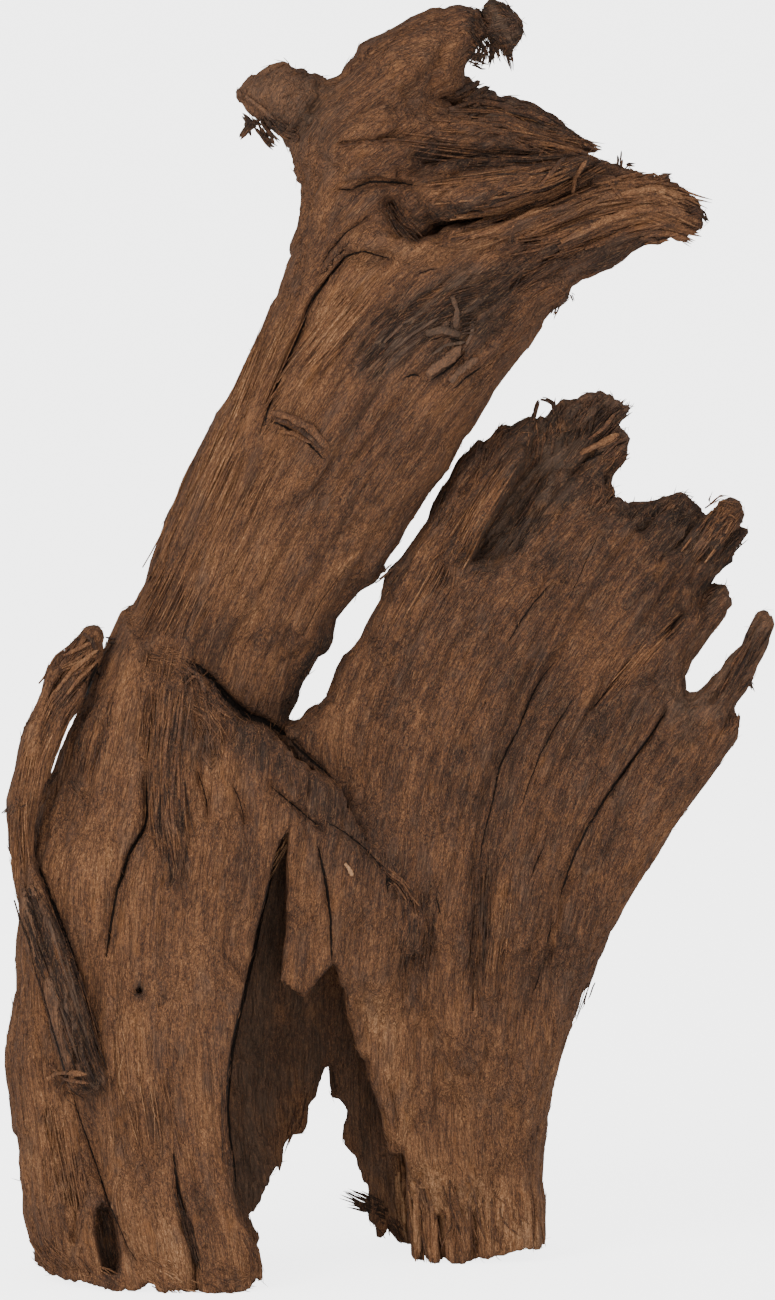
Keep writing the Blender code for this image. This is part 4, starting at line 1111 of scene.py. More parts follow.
def wood_material(name, bump, cracked):
    """Matt wood that reads its grain, stains, painted light and shade and cracks from the piece
    itself.

    A crack is sunk, and inked dark as painted shade, where the signed distance from it, made to
    wander by a little noise, is within its half width.
    """
    material = bpy.data.materials.new(name)
    material.use_nodes = True
    n = Nodes(material.node_tree)
    shader = material.node_tree.nodes["Principled BSDF"]
    shader.inputs["Specular IOR Level"].default_value = SHINE
    grain = n.carried("grain")
    shade = n.parts(n.carried("tint"))
    pattern = n.add("ShaderNodeGroup", {"node_tree": FIBRES}, Grain=grain,
                    Stain=shade["X"], Warm=shade["Y"], Grey=shade["Z"]).outputs
    colour, height = pattern["Colour"], pattern["Height"]
    if cracked:
        line = n.parts(n.carried("crack"))
        wander = n.noise(grain, 1.2, 3.0, 2.0)
        away = n.math("ADD", line["X"], n.math("MULTIPLY", n.math("SUBTRACT", wander, 0.5), 0.7))
        away = n.math("DIVIDE", n.math("ABSOLUTE", away), n.math("MAXIMUM", line["Y"], 0.01))
        crack_groove_and_shade = n.math("MULTIPLY", n.ramp(away, 0.6, 1.3, 1.0, 0.0),
                            n.ramp(line["Y"], 0.03, 0.10))
        # Painted shade: the crack is inked near black, as the shade in it.
        colour = n.mix(crack_groove_and_shade, colour, CRACK_SHADE_INK)
        height = n.math("SUBTRACT", height, n.math("MULTIPLY", crack_groove_and_shade, 1.6))
    bumped = n.add("ShaderNodeBump", Strength=bump, Distance=BUMP_TALL, Height=height)
    for name, value in (("Base Color", colour), ("Roughness", pattern["Roughness"]),
                        ("Normal", bumped.outputs["Normal"])):
        n.feed(shader.inputs[name], value)
    return material


body.data.materials.append(wood_material("weathered wood", 0.9, True))
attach(body, "root")
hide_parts("driftwood")

# Torn fibres: thin strands that weathering has lifted off the skin. Each is a
# tapered, closed tube that starts in the wood and lies along the grain, in bundles
# where the wood is splintered, frayed or hairy.
TOWARDS_VIEW = np.array([0.13, -0.95, 0.28])
ROOT_SIZE, SWELLING, TIP_SIZE = 0.62, 0.6, 0.10


def tubes(spines, radii, sides, flat=1.0, blunt=2.2):
    """Closed tubes along whole arrays of paths.

    Round each point of a path lies a ring of the radius given there, which swells
    from the root and shrinks to a pointed tip, at the share to the power of blunt.
    Two flat caps close the ends. Returns the points and the triangles.
    """
    count, joints = spines.shape[:2]
    tangent = np.gradient(spines, axis=1)
    tangent /= np.maximum(np.linalg.norm(tangent, axis=2), 1e-9)[:, :, None]
    wing = np.cross(tangent, TOWARDS_VIEW)
    wing /= np.maximum(np.linalg.norm(wing, axis=2), 1e-9)[:, :, None]
    back = np.cross(wing, tangent)
    share = np.linspace(0.0, 1.0, joints)
    swell = (ROOT_SIZE + SWELLING * share) * (1.0 - share ** blunt) + TIP_SIZE
    turn = np.linspace(0.0, 2.0 * math.pi, sides, endpoint=False)
    ring = (wing[:, :, None, :] * np.cos(turn)[None, None, :, None]
            + back[:, :, None, :] * np.sin(turn)[None, None, :, None] * flat)
    points = spines[:, :, None, :] + ring * (radii * swell)[:, :, None, None]
    index = np.arange(joints * sides).reshape(joints, sides)
    after = np.roll(index, -1, axis=1)
    one = np.stack([index[:-1], after[1:], after[:-1]], -1).reshape(-1, 3)
    two = np.stack([index[:-1], index[1:], after[1:]], -1).reshape(-1, 3)
    step = np.arange(1, sides - 1)
    root = np.stack([np.zeros_like(step), step, step + 1], -1)
    tip = np.stack([np.zeros_like(step), step + 1, step], -1) + (joints - 1) * sides
    single = np.vstack([one, two, root, tip])
    faces = single[None] + (np.arange(count) * joints * sides)[:, None, None]
    return points.reshape(-1, 3), faces.reshape(-1, 3)


# How strands lie in a bundle, as shares of its length and of its spread
STARTS, LENGTHS, FURTHEST = (-0.02, 0.5), (0.35, 1.0), 1.03
WIDEST, TIP_STRAY, WAVE_STRAY, WAVES = 2.0, 0.4, 0.12, (3.0, 9.0)
# Their thickness and lift as shares of what is given, how flat they are, and in
# millimetres how far the root starts in the wood and the greatest step in depth
THICKNESS, KNOBS, LIFTS, ROOT_LIFT, TWIG_SAG = (0.45, 1.25), (0.7, 1.2), (0.05, 1.0), 0.15, 0.3
FLAT_STRAND, FLAT_TWIG = 0.6, 0.42
SUNK, SUNK_SHARE, STEEPEST, SMOOTHED = 0.1, 0.3, 5.0, 4
DARK_SPREAD, WARM_SPREAD = 0.2, 0.3


def laid(bundles, seed, on_wood=0.75, blunt=5.0, joints=9, sides=5, whole=False, grey=0.0):
    """Strands laid on the front of the wood in bundles.

    A strand follows its bundle's path from one share of it to another, a seeded
    distance to one side, at the depth of the wood under it, and its tip lifts off
    with the square of the share. A strand with less than the given share of its
    length over the wood is left out, and so is one that would bridge a step in
    depth. A whole strand runs the full length of its path and keeps its thickness
    but for its knobs, and it is lifted all along, a little less at its tip.
    """
    rng = np.random.default_rng(seed)
    share = np.linspace(0.0, 1.0, joints)[None, :]
    spines, radii, tints = [], [], []
    for path, count, spread_out, radius, raised, dark, warm, *fixed in bundles:
        line = drawn(path).astype(float)
        steps = np.hypot(*np.diff(line, axis=0).T)
        reach = np.concatenate([[0.0], np.cumsum(steps)]) / steps.sum()
        heading = np.gradient(line, axis=0)
        heading /= np.hypot(*heading.T)[:, None]
        first = rng.uniform(*STARTS, count) * (not whole)
        last = first + 1.0 if whole else \
            first + rng.uniform(*LENGTHS, count) * (FURTHEST - first)
        place = first[:, None] + (last - first)[:, None] * share
        over = np.maximum(place - 1.0, 0.0) * steps.sum()
        lean_x, lean_v = [np.interp(place, reach, heading[:, axis]) for axis in (0, 1)]
        widest = WIDEST * spread_out
        aside = np.clip(rng.normal(0.0, spread_out, (count, 1)), -widest, widest) \
            + rng.normal(0.0, TIP_STRAY * spread_out, (count, 1)) * share ** 1.5 \
            + rng.normal(0.0, WAVE_STRAY * spread_out, (count, 1)) \
            * np.sin(share * rng.uniform(*WAVES, (count, 1)))
        x = np.interp(place, reach, line[:, 0]) + lean_x * over + lean_v * aside
        v = np.interp(place, reach, line[:, 1]) + lean_v * over - lean_x * aside
        depth = looked_up(front_map, x, v) if not fixed else np.full(x.shape, fixed[0])
        steep = np.abs(np.diff(depth, axis=1)).max(axis=1) > STEEPEST
        for _ in range(SMOOTHED):
            depth[:, 1:-1] = 0.25 * depth[:, :-2] + 0.5 * depth[:, 1:-1] + 0.25 * depth[:, 2:]
        if whole:
            thick, lifted = radius * np.ones(count), 1.0 - TWIG_SAG * share ** 2
        else:
            thick = radius * rng.uniform(*THICKNESS, count)
            lifted = rng.uniform(*LIFTS, (count, 1)) \
                * (ROOT_LIFT + (1.0 - ROOT_LIFT) * share ** 2)
        depth = depth + SUNK - SUNK_SHARE * thick[:, None] - raised * lifted
        kept = looked_up(covered, x, v).mean(axis=1) >= on_wood
        if not whole:
            kept &= ~steep
        count = int(kept.sum())
        x, v, depth, thick = x[kept], v[kept], depth[kept], thick[kept, None]
        if whole:
            thick = thick * rng.uniform(*KNOBS, (count, joints))
        spines.append(stand(x.ravel(), depth.ravel(), v.ravel()).reshape(count, joints, 3))
        radii.append(thick * np.full((1, joints), 0.001))
        tint = np.column_stack([dark + rng.normal(0.0, DARK_SPREAD, count),
                                warm + rng.normal(0.0, WARM_SPREAD, count),
                                np.full(count, grey)])
        tints.append(np.repeat(tint, joints * sides, axis=0))
    points, faces = tubes(np.concatenate(spines), np.concatenate(radii), sides,
                          FLAT_TWIG if whole else FLAT_STRAND, blunt)
    points[:, 2] = np.maximum(points[:, 2], 0.0)
    return points, faces, np.concatenate(tints)


fibre_material = wood_material("loose fibres", 0.5, False)


def fibre_piece(name, points, faces, shade):
    """A piece made of strands, with its grain and tints for the material."""
    mesh = make_mesh(name, points, faces)
    add_vectors(mesh, "grain", grain_place(*lie(points)))
    add_vectors(mesh, "tint", shade)
    mesh.materials.append(fibre_material)
    piece = bpy.data.objects.new(name, mesh)
    bpy.context.scene.collection.objects.link(piece)
    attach(piece, "root")


# The head's splinters, along the branch and round the knobs. Bundles are (path,
# strands, spread, radius, lift of the tips, dark, warm), the sizes in millimetres.
HEAD_SPLINTERS = [
    ([(446, 222), (500, 214), (550, 198), (604, 166)], 26, 1.2, 0.45, 1.0, 0.1, 0.5),
    ([(432, 244), (500, 231), (560, 207), (620, 180)], 46, 2.2, 0.5, 1.4, 0.0, 0.6),
    ([(420, 196), (480, 190), (540, 180), (596, 158)], 34, 2.2, 0.4, 0.6, 0.0, 0.8),
    ([(480, 246), (540, 236), (600, 214), (660, 204)], 46, 2.6, 0.45, 1.4, 0.1, 0.5),
    ([(540, 254), (600, 236), (650, 224), (702, 226)], 44, 3.0, 0.45, 1.5, 0.2, 0.4),
    ([(584, 196), (630, 184), (668, 178)], 26, 1.8, 0.5, 1.6, 0.1, 0.5),
    ([(600, 206), (650, 200), (704, 220)], 60, 3.4, 0.5, 1.6, 0.0, 0.8),
    ([(640, 226), (670, 226), (696, 234)], 26, 2.4, 0.4, 1.2, 0.0, 0.8),
    ([(336, 148), (400, 142), (470, 152), (550, 160), (604, 154)], 44, 2.4, 0.4, 1.2, 0.4, 0.2),
    ([(430, 120), (500, 124), (548, 142), (596, 152)], 50, 2.8, 0.4, 1.0, 0.1, 0.4),
    ([(470, 132), (530, 144), (600, 160)], 30, 2.4, 0.5, 2.0, 0.2, 0.4),
    ([(452, 112), (474, 98), (492, 90)], 18, 2.8, 0.75, 0.7, 0.5, 0.1),
    ([(470, 100), (530, 108), (566, 128), (594, 146)], 40, 1.8, 0.4, 1.6, 0.8, 0.0),
    ([(560, 130), (584, 146), (600, 152)], 20, 1.6, 0.5, 1.6, 0.4, 0.3),
    ([(430, 170), (480, 164), (540, 162), (590, 157)], 40, 2.2, 0.35, 1.2, 0.9, 0.0),
    ([(390, 204), (402, 224), (424, 242)], 22, 1.6, 0.45, 0.6, 0.6, 0.1),
    ([(520, 178), (538, 160), (548, 142)], 8, 1.0, 0.5, 2.4, 0.1, 0.5),
    ([(556, 168), (560, 184), (570, 198)], 7, 0.8, 0.5, 2.6, 0.3, 0.3),
    ([(506, 248), (510, 232), (512, 216)], 7, 0.8, 0.45, 2.4, 0.3, 0.3),
    ([(606, 178), (614, 190), (624, 204)], 6, 0.7, 0.5, 2.6, 0.2, 0.4),
    ([(360, 372), (400, 334), (450, 308), (510, 292)], 110, 4.2, 0.28, 0.9, 0.8, 0.1),
    ([(500, 300), (530, 276), (560, 262)], 24, 3.0, 0.35, 0.8, 0.5, 0.2),
    ([(600, 226), (645, 220), (696, 236)], 16, 3.2, 1.0, 0.9, 0.1, 0.6),
    ([(606, 198), (650, 190), (684, 194)], 12, 2.0, 1.0, 1.2, -0.1, 0.8),
    ([(556, 248), (600, 230), (644, 216)], 14, 2.4, 0.9, 1.0, 0.15, 0.5),
    ([(430, 247), (500, 233), (560, 209), (608, 181)], 10, 1.4, 0.8, 1.0, 0.2, 0.4),
    ([(440, 222), (500, 212), (552, 196), (598, 168)], 9, 0.8, 0.8, 1.0, 0.2, 0.4),
    ([(640, 236), (668, 232), (692, 240)], 10, 1.6, 0.9, 1.0, -0.2, 0.8),
    ([(256, 430), (300, 372), (345, 318), (392, 262)], 60, 2.6, 0.32, 0.6, 0.0, 1.0),
    ([(130, 640), (190, 520), (240, 410), (285, 300)], 70, 3.4, 0.28, 0.3, 0.0, 0.7),
    ([(170, 640), (220, 540), (262, 450)], 40, 4.0, 0.3, 0.4, 0.1, 0.7),
]
fibre_piece("head_splinters", *laid(HEAD_SPLINTERS, 211))

# The torn top of the fan, a broken edge that is frayed where the sheets of wood gave
# way, and the split end of the right leg.
FAN_SPLINTERS = [
    ([(536, 470), (541, 440), (540, 416)], 16, 2.0, 0.45, 0.8, 0.4, 0.4),
    ([(556, 446), (562, 420), (568, 398)], 20, 2.6, 0.4, 0.6, 0.9, 0.0),
    ([(578, 440), (590, 414), (602, 390)], 26, 3.0, 0.4, 0.8, 0.7, 0.1),
    ([(596, 440), (616, 416), (630, 406)], 20, 1.6, 0.4, 0.8, 0.6, 0.2),
    ([(582, 453), (600, 444), (619, 435)], 6, 0.6, 0.75, 2.6, 0.0, 1.0),
    ([(600, 468), (618, 450), (630, 440)], 18, 1.8, 0.4, 0.8, 0.5, 0.2),
    ([(588, 520), (602, 498), (612, 478)], 16, 1.8, 0.4, 0.8, 0.6, 0.1),
    ([(636, 530), (648, 514), (656, 500)], 20, 5.0, 0.35, 0.6, 0.9, 0.0),
    ([(664, 530), (680, 512), (696, 502)], 24, 4.0, 0.35, 0.6, 0.8, 0.0),
    ([(690, 560), (712, 530), (732, 500)], 40, 2.2, 0.4, 1.0, 0.2, 0.8),
    ([(722, 560), (736, 544), (748, 534)], 16, 1.4, 0.35, 0.6, 0.8, 0.0),
    ([(694, 618), (712, 600), (728, 594)], 16, 2.0, 0.35, 0.6, 0.6, 0.1),
    ([(720, 700), (740, 660), (768, 616)], 40, 1.8, 0.4, 0.6, 0.6, 0.1),
    ([(724, 740), (734, 724), (736, 712)], 12, 1.2, 0.35, 0.6, 0.6, 0.1),
    ([(466, 490), (478, 462), (486, 438)], 18, 2.2, 0.35, 0.8, 0.4, 0.3),
    ([(488, 470), (500, 446), (512, 426)], 20, 3.0, 0.35, 0.8, 0.3, 0.4),
    ([(430, 540), (442, 508), (452, 480)], 14, 2.0, 0.3, 0.4, 0.5, 0.1),
    ([(452, 570), (478, 516), (514, 460)], 50, 1.6, 0.35, 0.8, 0.0, 0.8),
    ([(400, 640), (440, 560), (476, 500)], 40, 4.0, 0.3, 0.4, 0.3, 0.4),
    ([(500, 560), (524, 520), (552, 470)], 30, 3.4, 0.3, 0.4, 1.0, 0.0),
    ([(690, 610), (650, 650), (600, 708)], 30, 1.4, 0.3, 0.5, 0.0, 0.8),
    ([(505, 880), (500, 930), (492, 980)], 26, 1.4, 0.3, 0.4, 0.0, 1.0),
    ([(412, 890), (416, 930), (410, 980)], 44, 2.8, 0.3, 0.6, 0.5, 0.0),
    ([(484, 850), (480, 920), (474, 1000)], 30, 2.4, 0.26, 0.3, 0.45, 0.0),
    ([(372, 858), (400, 884), (420, 912)], 14, 1.0, 0.35, 0.9, 0.3, 0.4),
    ([(384, 1076), (391, 1116), (396, 1158)], 26, 1.1, 0.36, 0.8, 0.0, 1.0),
    ([(398, 1160), (404, 1210), (412, 1266)], 30, 1.6, 0.7, 0.8, -0.2, 0.8),
    ([(418, 1190), (418, 1230), (418, 1270)], 8, 0.6, 0.9, 0.6, -0.2, 0.9),
    ([(432, 1200), (433, 1240), (434, 1272)], 8, 0.7, 0.9, 0.6, -0.1, 0.8),
    ([(414, 1180), (424, 1220), (432, 1270)], 40, 2.4, 0.45, 0.8, 0.1, 0.7),
    ([(450, 1180), (460, 1220), (468, 1264)], 30, 4.0, 0.35, 0.4, 0.1, 0.7),
    ([(500, 1190), (506, 1226), (512, 1256)], 30, 5.0, 0.35, 0.4, 0.1, 0.6),
    ([(380, 1226), (392, 1240), (404, 1250)], 36, 2.4, 0.4, 0.8, 0.7, 0.1),
    ([(306, 1090), (298, 1126), (286, 1160)], 14, 1.4, 0.3, 0.2, 0.4, 0.1),
]
fibre_piece("fan_splinters", *laid(FAN_SPLINTERS, 307))

# The left leg's loose fibres: the hairy band below the fold, the dark strap with a
# fibre tied across it, and the ragged end of the foot.
LEG_SPLINTERS = [
    ([(178, 690), (168, 760), (170, 820), (178, 884)], 130, 2.6, 0.26, 0.9, 0.7, 0.2),
    ([(176, 692), (166, 760), (168, 820), (178, 880)], 60, 2.6, 0.40, 1.1, 0.25, 0.5),
    ([(160, 650), (152, 700), (150, 760)], 40, 2.4, 0.32, 0.9, 0.2, 0.6),
    ([(196, 680), (212, 726), (214, 770)], 46, 3.4, 0.26, 1.8, 0.4, 0.5),
    ([(182, 700), (206, 716), (222, 744)], 26, 2.6, 0.24, 1.8, 0.2, 0.6),
    ([(200, 750), (212, 764), (222, 752)], 14, 1.6, 0.2, 1.6, 0.3, 0.6),
    ([(180, 664), (190, 672), (196, 688)], 36, 2.0, 0.3, 1.4, 0.5, 0.5),
    ([(150, 650), (172, 656), (190, 660)], 26, 1.6, 0.3, 0.8, 0.2, 0.7),
    ([(204, 684), (216, 704), (230, 716)], 18, 1.2, 0.3, 0.8, 0.6, 0.3),
    ([(24, 890), (44, 950), (66, 1010), (96, 1086)], 130, 2.4, 0.36, 0.5, 0.9, 0.0),
    ([(36, 880), (60, 940), (80, 1000), (100, 1070)], 60, 1.4, 0.36, 0.5, 0.6, 0.2),
    ([(100, 650), (84, 676), (60, 706), (38, 760), (26, 830)], 70, 2.2, 0.35, 0.5, 0.2, 0.6),
    ([(30, 740), (18, 800), (20, 880)], 46, 1.8, 0.32, 0.4, 0.1, 0.7),
    ([(56, 676), (78, 668), (102, 652)], 18, 1.2, 0.45, 1.6, 0.1, 0.7),
    ([(58, 1060), (70, 1046), (86, 1040)], 7, 1.2, 0.2, 1.4, 0.4, 0.5),
    ([(78, 1056), (90, 1078), (102, 1094)], 36, 2.2, 0.34, 0.9, 0.9, 0.0),
    ([(64, 1080), (76, 1092), (86, 1100)], 16, 1.6, 0.3, 0.9, 0.4, 0.4),
    ([(98, 700), (94, 730), (80, 780)], 40, 2.6, 0.28, 0.7, 0.4, 0.4),
    ([(70, 776), (80, 790), (92, 800)], 10, 1.0, 0.4, 1.4, 0.3, 0.6),
    ([(30, 1240), (44, 1262), (64, 1282)], 40, 2.6, 0.3, 0.8, 0.1, 0.8),
    ([(70, 1250), (90, 1268), (120, 1284)], 40, 4.0, 0.3, 0.7, 0.2, 0.7),
    ([(140, 1256), (166, 1276), (200, 1292)], 56, 3.0, 0.3, 0.9, 0.0, 1.0),
    ([(200, 1270), (228, 1284), (256, 1288)], 36, 3.0, 0.3, 0.7, 0.1, 0.7),
    ([(244, 1226), (254, 1252), (260, 1280)], 26, 1.6, 0.3, 0.6, 0.2, 0.5),
    ([(50, 1090), (60, 1150), (76, 1230)], 60, 3.0, 0.3, 0.5, 0.1, 0.8),
    ([(100, 1210), (106, 1240), (112, 1276)], 26, 1.4, 0.3, 0.6, 0.9, 0.0),
    ([(176, 1190), (188, 1230), (200, 1272)], 26, 0.9, 0.3, 0.5, 0.8, 0.0),
    ([(130, 1000), (130, 1080), (150, 1180)], 60, 7.0, 0.22, 0.3, 0.0, 0.7),
    ([(232, 1010), (226, 1080), (228, 1180)], 40, 0.9, 0.3, 0.4, 0.3, 0.3),
    ([(226, 1130), (232, 1160), (236, 1196)], 16, 0.8, 0.3, 0.9, 0.3, 0.4),
]
fibre_piece("leg_fibres", *laid(LEG_SPLINTERS, 409))

# Twigs: single stout pieces that lie whole on the wood, first those in the dark knot
# of the trunk, then those at the bark flap, on the fan's torn top, across the strap
# and along the branch: (path, radius, lift, dark, warm), the sizes in millimetres.
KNOT_TWIGS = [
    ([(452, 298), (457, 312), (455, 331)], 1.0, 0.7, 0.5, 0.0),
    ([(427, 376), (438, 367), (450, 358), (461, 347)], 1.8, 0.7, 0.5, 0.0),
    ([(426, 335), (442, 331), (461, 336)], 1.5, 0.6, 0.55, 0.0),
    ([(450, 383), (461, 370), (478, 359)], 1.4, 0.6, 0.55, 0.0),
    ([(466, 346), (472, 334), (472, 320)], 0.7, 0.6, 0.7, 0.0),
    ([(432, 356), (446, 346), (466, 343)], 0.6, 0.6, 0.7, 0.0),
    ([(384, 344), (402, 326), (426, 312)], 0.5, 0.5, 0.6, 0.0),
    ([(392, 352), (414, 334), (440, 318)], 0.5, 0.5, 0.6, 0.0),
    ([(40, 930), (58, 990), (80, 1060)], 0.7, 0.4, 0.5, 0.0),
    ([(50, 920), (68, 980), (90, 1050)], 0.7, 0.4, 0.45, 0.0),
    ([(62, 940), (80, 1010), (98, 1078)], 0.7, 0.4, 0.5, 0.0),
    ([(246, 98), (262, 110), (276, 122)], 0.7, 0.8, 0.1, 0.2),
]
TWIGS = [
    ([(56, 692), (74, 669), (100, 648)], 0.8, 1.2, 0.0, 0.7),
    ([(60, 704), (80, 678), (103, 656)], 0.6, 1.0, 0.2, 0.5),
    ([(64, 656), (80, 648), (98, 640)], 0.7, 1.0, 0.1, 0.6),
    ([(84, 633), (93, 641), (99, 655)], 0.7, 1.2, 0.2, 0.5),
    ([(172, 700), (166, 752), (164, 800)], 0.6, 0.9, -0.1, 0.6),
    ([(184, 690), (178, 750), (180, 806)], 0.6, 0.9, 0.0, 0.6),
    ([(178, 740), (172, 800), (176, 862)], 0.6, 0.9, 0.1, 0.5),
    ([(188, 668), (200, 676), (206, 694)], 0.8, 1.4, 0.2, 0.5),
    ([(186, 684), (194, 676), (206, 680)], 0.6, 1.6, 0.2, 0.5),
    ([(271, 413), (290, 418), (311, 429), (331, 452)], 1.4, 1.1, 0.15, 0.5),
    ([(276, 420), (292, 424), (308, 435), (323, 450)], 1.0, 0.8, 0.5, 0.0),
    ([(278, 432), (294, 434), (312, 444)], 0.8, 1.0, 0.0, 0.5),
    ([(580, 454), (598, 445), (620, 434)], 0.9, 2.2, 0.1, 0.7),
    ([(588, 440), (604, 428), (616, 412)], 0.6, 1.6, 0.2, 0.3),
    ([(46, 1080), (56, 1073), (70, 1071), (88, 1073)], 0.9, 2.8, -0.35, 0.9),
    ([(50, 1064), (66, 1078), (90, 1082)], 0.6, 2.4, 0.0, 0.6),
    ([(56, 1092), (66, 1078), (72, 1060)], 0.5, 2.2, 0.1, 0.5),
    ([(80, 1030), (84, 1056), (96, 1080)], 0.6, 1.4, 0.5, 0.2),
    ([(345, 863), (349, 868), (353, 876)], 0.75, 0.5, -2.0, 0.4),
    ([(524, 238), (560, 222), (600, 200), (640, 186)], 1.1, 1.0, 0.1, 0.6),
    ([(560, 244), (604, 222), (652, 206)], 1.2, 0.9, 0.15, 0.5),
    ([(584, 250), (630, 230), (676, 222)], 1.0, 0.9, 0.2, 0.5),
    ([(620, 196), (656, 190), (684, 200)], 1.1, 1.0, 0.1, 0.6),
    ([(634, 212), (670, 210), (700, 224)], 1.2, 1.0, 0.15, 0.6),
    ([(470, 240), (510, 226), (544, 208)], 1.0, 1.0, 0.15, 0.5),
    ([(538, 190), (552, 174), (566, 158)], 0.8, 2.0, 0.3, 0.3),
    ([(572, 196), (574, 180), (586, 162)], 0.8, 2.0, 0.2, 0.4),
    ([(450, 112), (474, 102), (500, 106), (526, 117)], 1.2, 1.2, 0.3, 0.2),
    ([(456, 96), (470, 88), (480, 82)], 1.0, 1.2, 0.5, 0.0),
    ([(462, 106), (478, 92), (490, 88)], 1.0, 1.2, 0.45, 0.0),
    ([(504, 112), (530, 114), (556, 126)], 1.0, 1.2, 0.4, 0.1),
    ([(462, 102), (484, 97), (506, 101)], 0.9, 1.2, 0.4, 0.1),
    ([(478, 122), (510, 122), (548, 134)], 0.9, 0.8, 0.3, 0.2),
    ([(384, 1076), (389, 1098), (392, 1124)], 0.6, 0.5, 0.1, 0.9),
    ([(389, 1110), (393, 1134), (396, 1160)], 0.7, 0.5, 0.0, 0.9),
    ([(400, 1150), (404, 1176), (405, 1206)], 0.8, 0.5, 0.0, 0.8),
]


def twig_piece(name, twigs, seed, grey=0.0):
    """A piece of twigs, each a bundle of one whole strand without spread."""
    bundles = [(path, 1, 0.0, *rest) for path, *rest in twigs]
    fibre_piece(name, *laid(bundles, seed, blunt=9.0, joints=13, sides=9, whole=True, grey=grey))


twig_piece("knot_twigs", KNOT_TWIGS, 443, 0.30)
twig_piece("twigs", TWIGS, 449)

# Loose shreds: what hangs free of the wood at the knobs, the torn edges and the feet.
# An eighth number is the depth at which a bundle hangs, where no wood is under it.
LOOSE_SHREDS = [
    ([(617, 170), (618, 160), (619, 151)], 4, 0.5, 0.55, 0.6, 0.7, 0.0),
    ([(622, 172), (628, 166), (634, 168)], 5, 0.6, 0.4, 0.8, 0.6, 0.0),
    ([(654, 184), (664, 178), (672, 176)], 8, 0.8, 0.5, 0.8, 0.4, 0.2),
    ([(700, 214), (706, 222), (708, 224)], 8, 0.8, 0.35, 0.8, 0.8, 0.0),
    ([(676, 230), (684, 238), (686, 242)], 7, 0.7, 0.4, 0.8, 0.5, 0.2),
    ([(560, 304), (556, 312), (552, 320)], 6, 0.8, 0.3, 0.5, 0.5, 0.2),
    ([(566, 292), (572, 296), (574, 302)], 5, 0.6, 0.25, 0.5, 0.5, 0.2),
    ([(372, 582), (386, 572), (402, 559)], 4, 0.7, 0.28, 0.2, 0.8, 0.0, -8.0),
    ([(478, 34), (485, 50), (480, 76)], 34, 1.8, 0.36, 0.8, 1.0, 0.0),
    ([(486, 36), (496, 48), (500, 64)], 46, 2.0, 0.36, 0.8, 1.0, 0.0),
    ([(466, 56), (476, 60), (490, 62)], 22, 1.4, 0.36, 0.6, 1.0, 0.0),
    ([(506, 44), (509, 58), (513, 72)], 16, 0.9, 0.32, 0.5, 0.9, 0.0),
    ([(496, 6), (512, 22), (518, 44)], 22, 1.4, 0.34, 0.6, 0.8, 0.1),
    ([(462, 20), (476, 24), (490, 38)], 24, 2.0, 0.36, 0.8, 0.9, 0.0),
    ([(262, 126), (252, 124), (243, 114)], 6, 0.5, 0.7, 0.4, 0.9, 0.0),
    ([(258, 124), (247, 131), (239, 141)], 6, 0.6, 0.75, 0.4, 0.9, 0.0),
    ([(250, 118), (246, 126), (250, 138)], 5, 0.6, 0.6, 0.4, 0.9, 0.0),
    ([(260, 120), (268, 132), (281, 146)], 20, 1.5, 0.75, 0.6, 0.8, 0.1),
    ([(300, 140), (288, 136), (268, 122)], 14, 1.2, 0.5, 0.6, 0.6, 0.2),
    ([(532, 424), (535, 410), (539, 399)], 5, 0.4, 0.6, 0.4, 0.7, 0.0),
    ([(538, 399), (546, 400), (553, 404), (554, 416)], 5, 0.4, 0.55, 0.4, 0.7, 0.0),
    ([(606, 496), (611, 492), (613, 482)], 8, 0.8, 0.25, 1.0, 0.4, 0.2),
    ([(712, 520), (724, 508), (738, 512)], 26, 2.2, 0.3, 1.6, 0.0, 1.0),
    ([(712, 514), (709, 500), (713, 489)], 3, 0.2, 0.28, 0.4, 0.4, 0.2),
    ([(738, 690), (750, 680), (757, 692)], 9, 1.0, 0.35, 0.8, 0.8, 0.0),
    ([(596, 972), (588, 992), (578, 1022)], 9, 0.7, 0.3, 0.4, 0.7, 0.0),
    ([(588, 996), (582, 1012), (576, 1022)], 5, 0.5, 0.25, 0.4, 0.8, 0.0),
    ([(388, 1218), (366, 1207), (343, 1196)], 26, 1.2, 0.4, 0.8, 0.9, 0.0),
    ([(380, 1212), (364, 1212), (346, 1206)], 16, 1.0, 0.36, 0.8, 0.9, 0.0),
    ([(50, 690), (66, 664), (94, 632)], 40, 2.0, 0.4, 0.9, 0.3, 0.4),
    ([(26, 800), (12, 808), (1, 818)], 10, 0.7, 0.4, 0.8, 0.7, 0.1),
    ([(116, 640), (110, 640), (104, 638)], 6, 0.6, 0.5, 0.4, 0.6, 0.2),
    ([(60, 770), (48, 784), (44, 796)], 12, 0.9, 0.3, 0.8, 0.7, 0.2),
    ([(292, 832), (278, 854), (262, 884)], 7, 1.4, 0.10, 0.3, -0.6, 1.0, -22.0),
    ([(290, 830), (282, 848), (270, 864)], 5, 1.0, 0.10, 0.3, -0.6, 1.0, -21.0),
]
fibre_piece("loose_shreds", *laid(LOOSE_SHREDS, 503, on_wood=0.0, blunt=3.0))

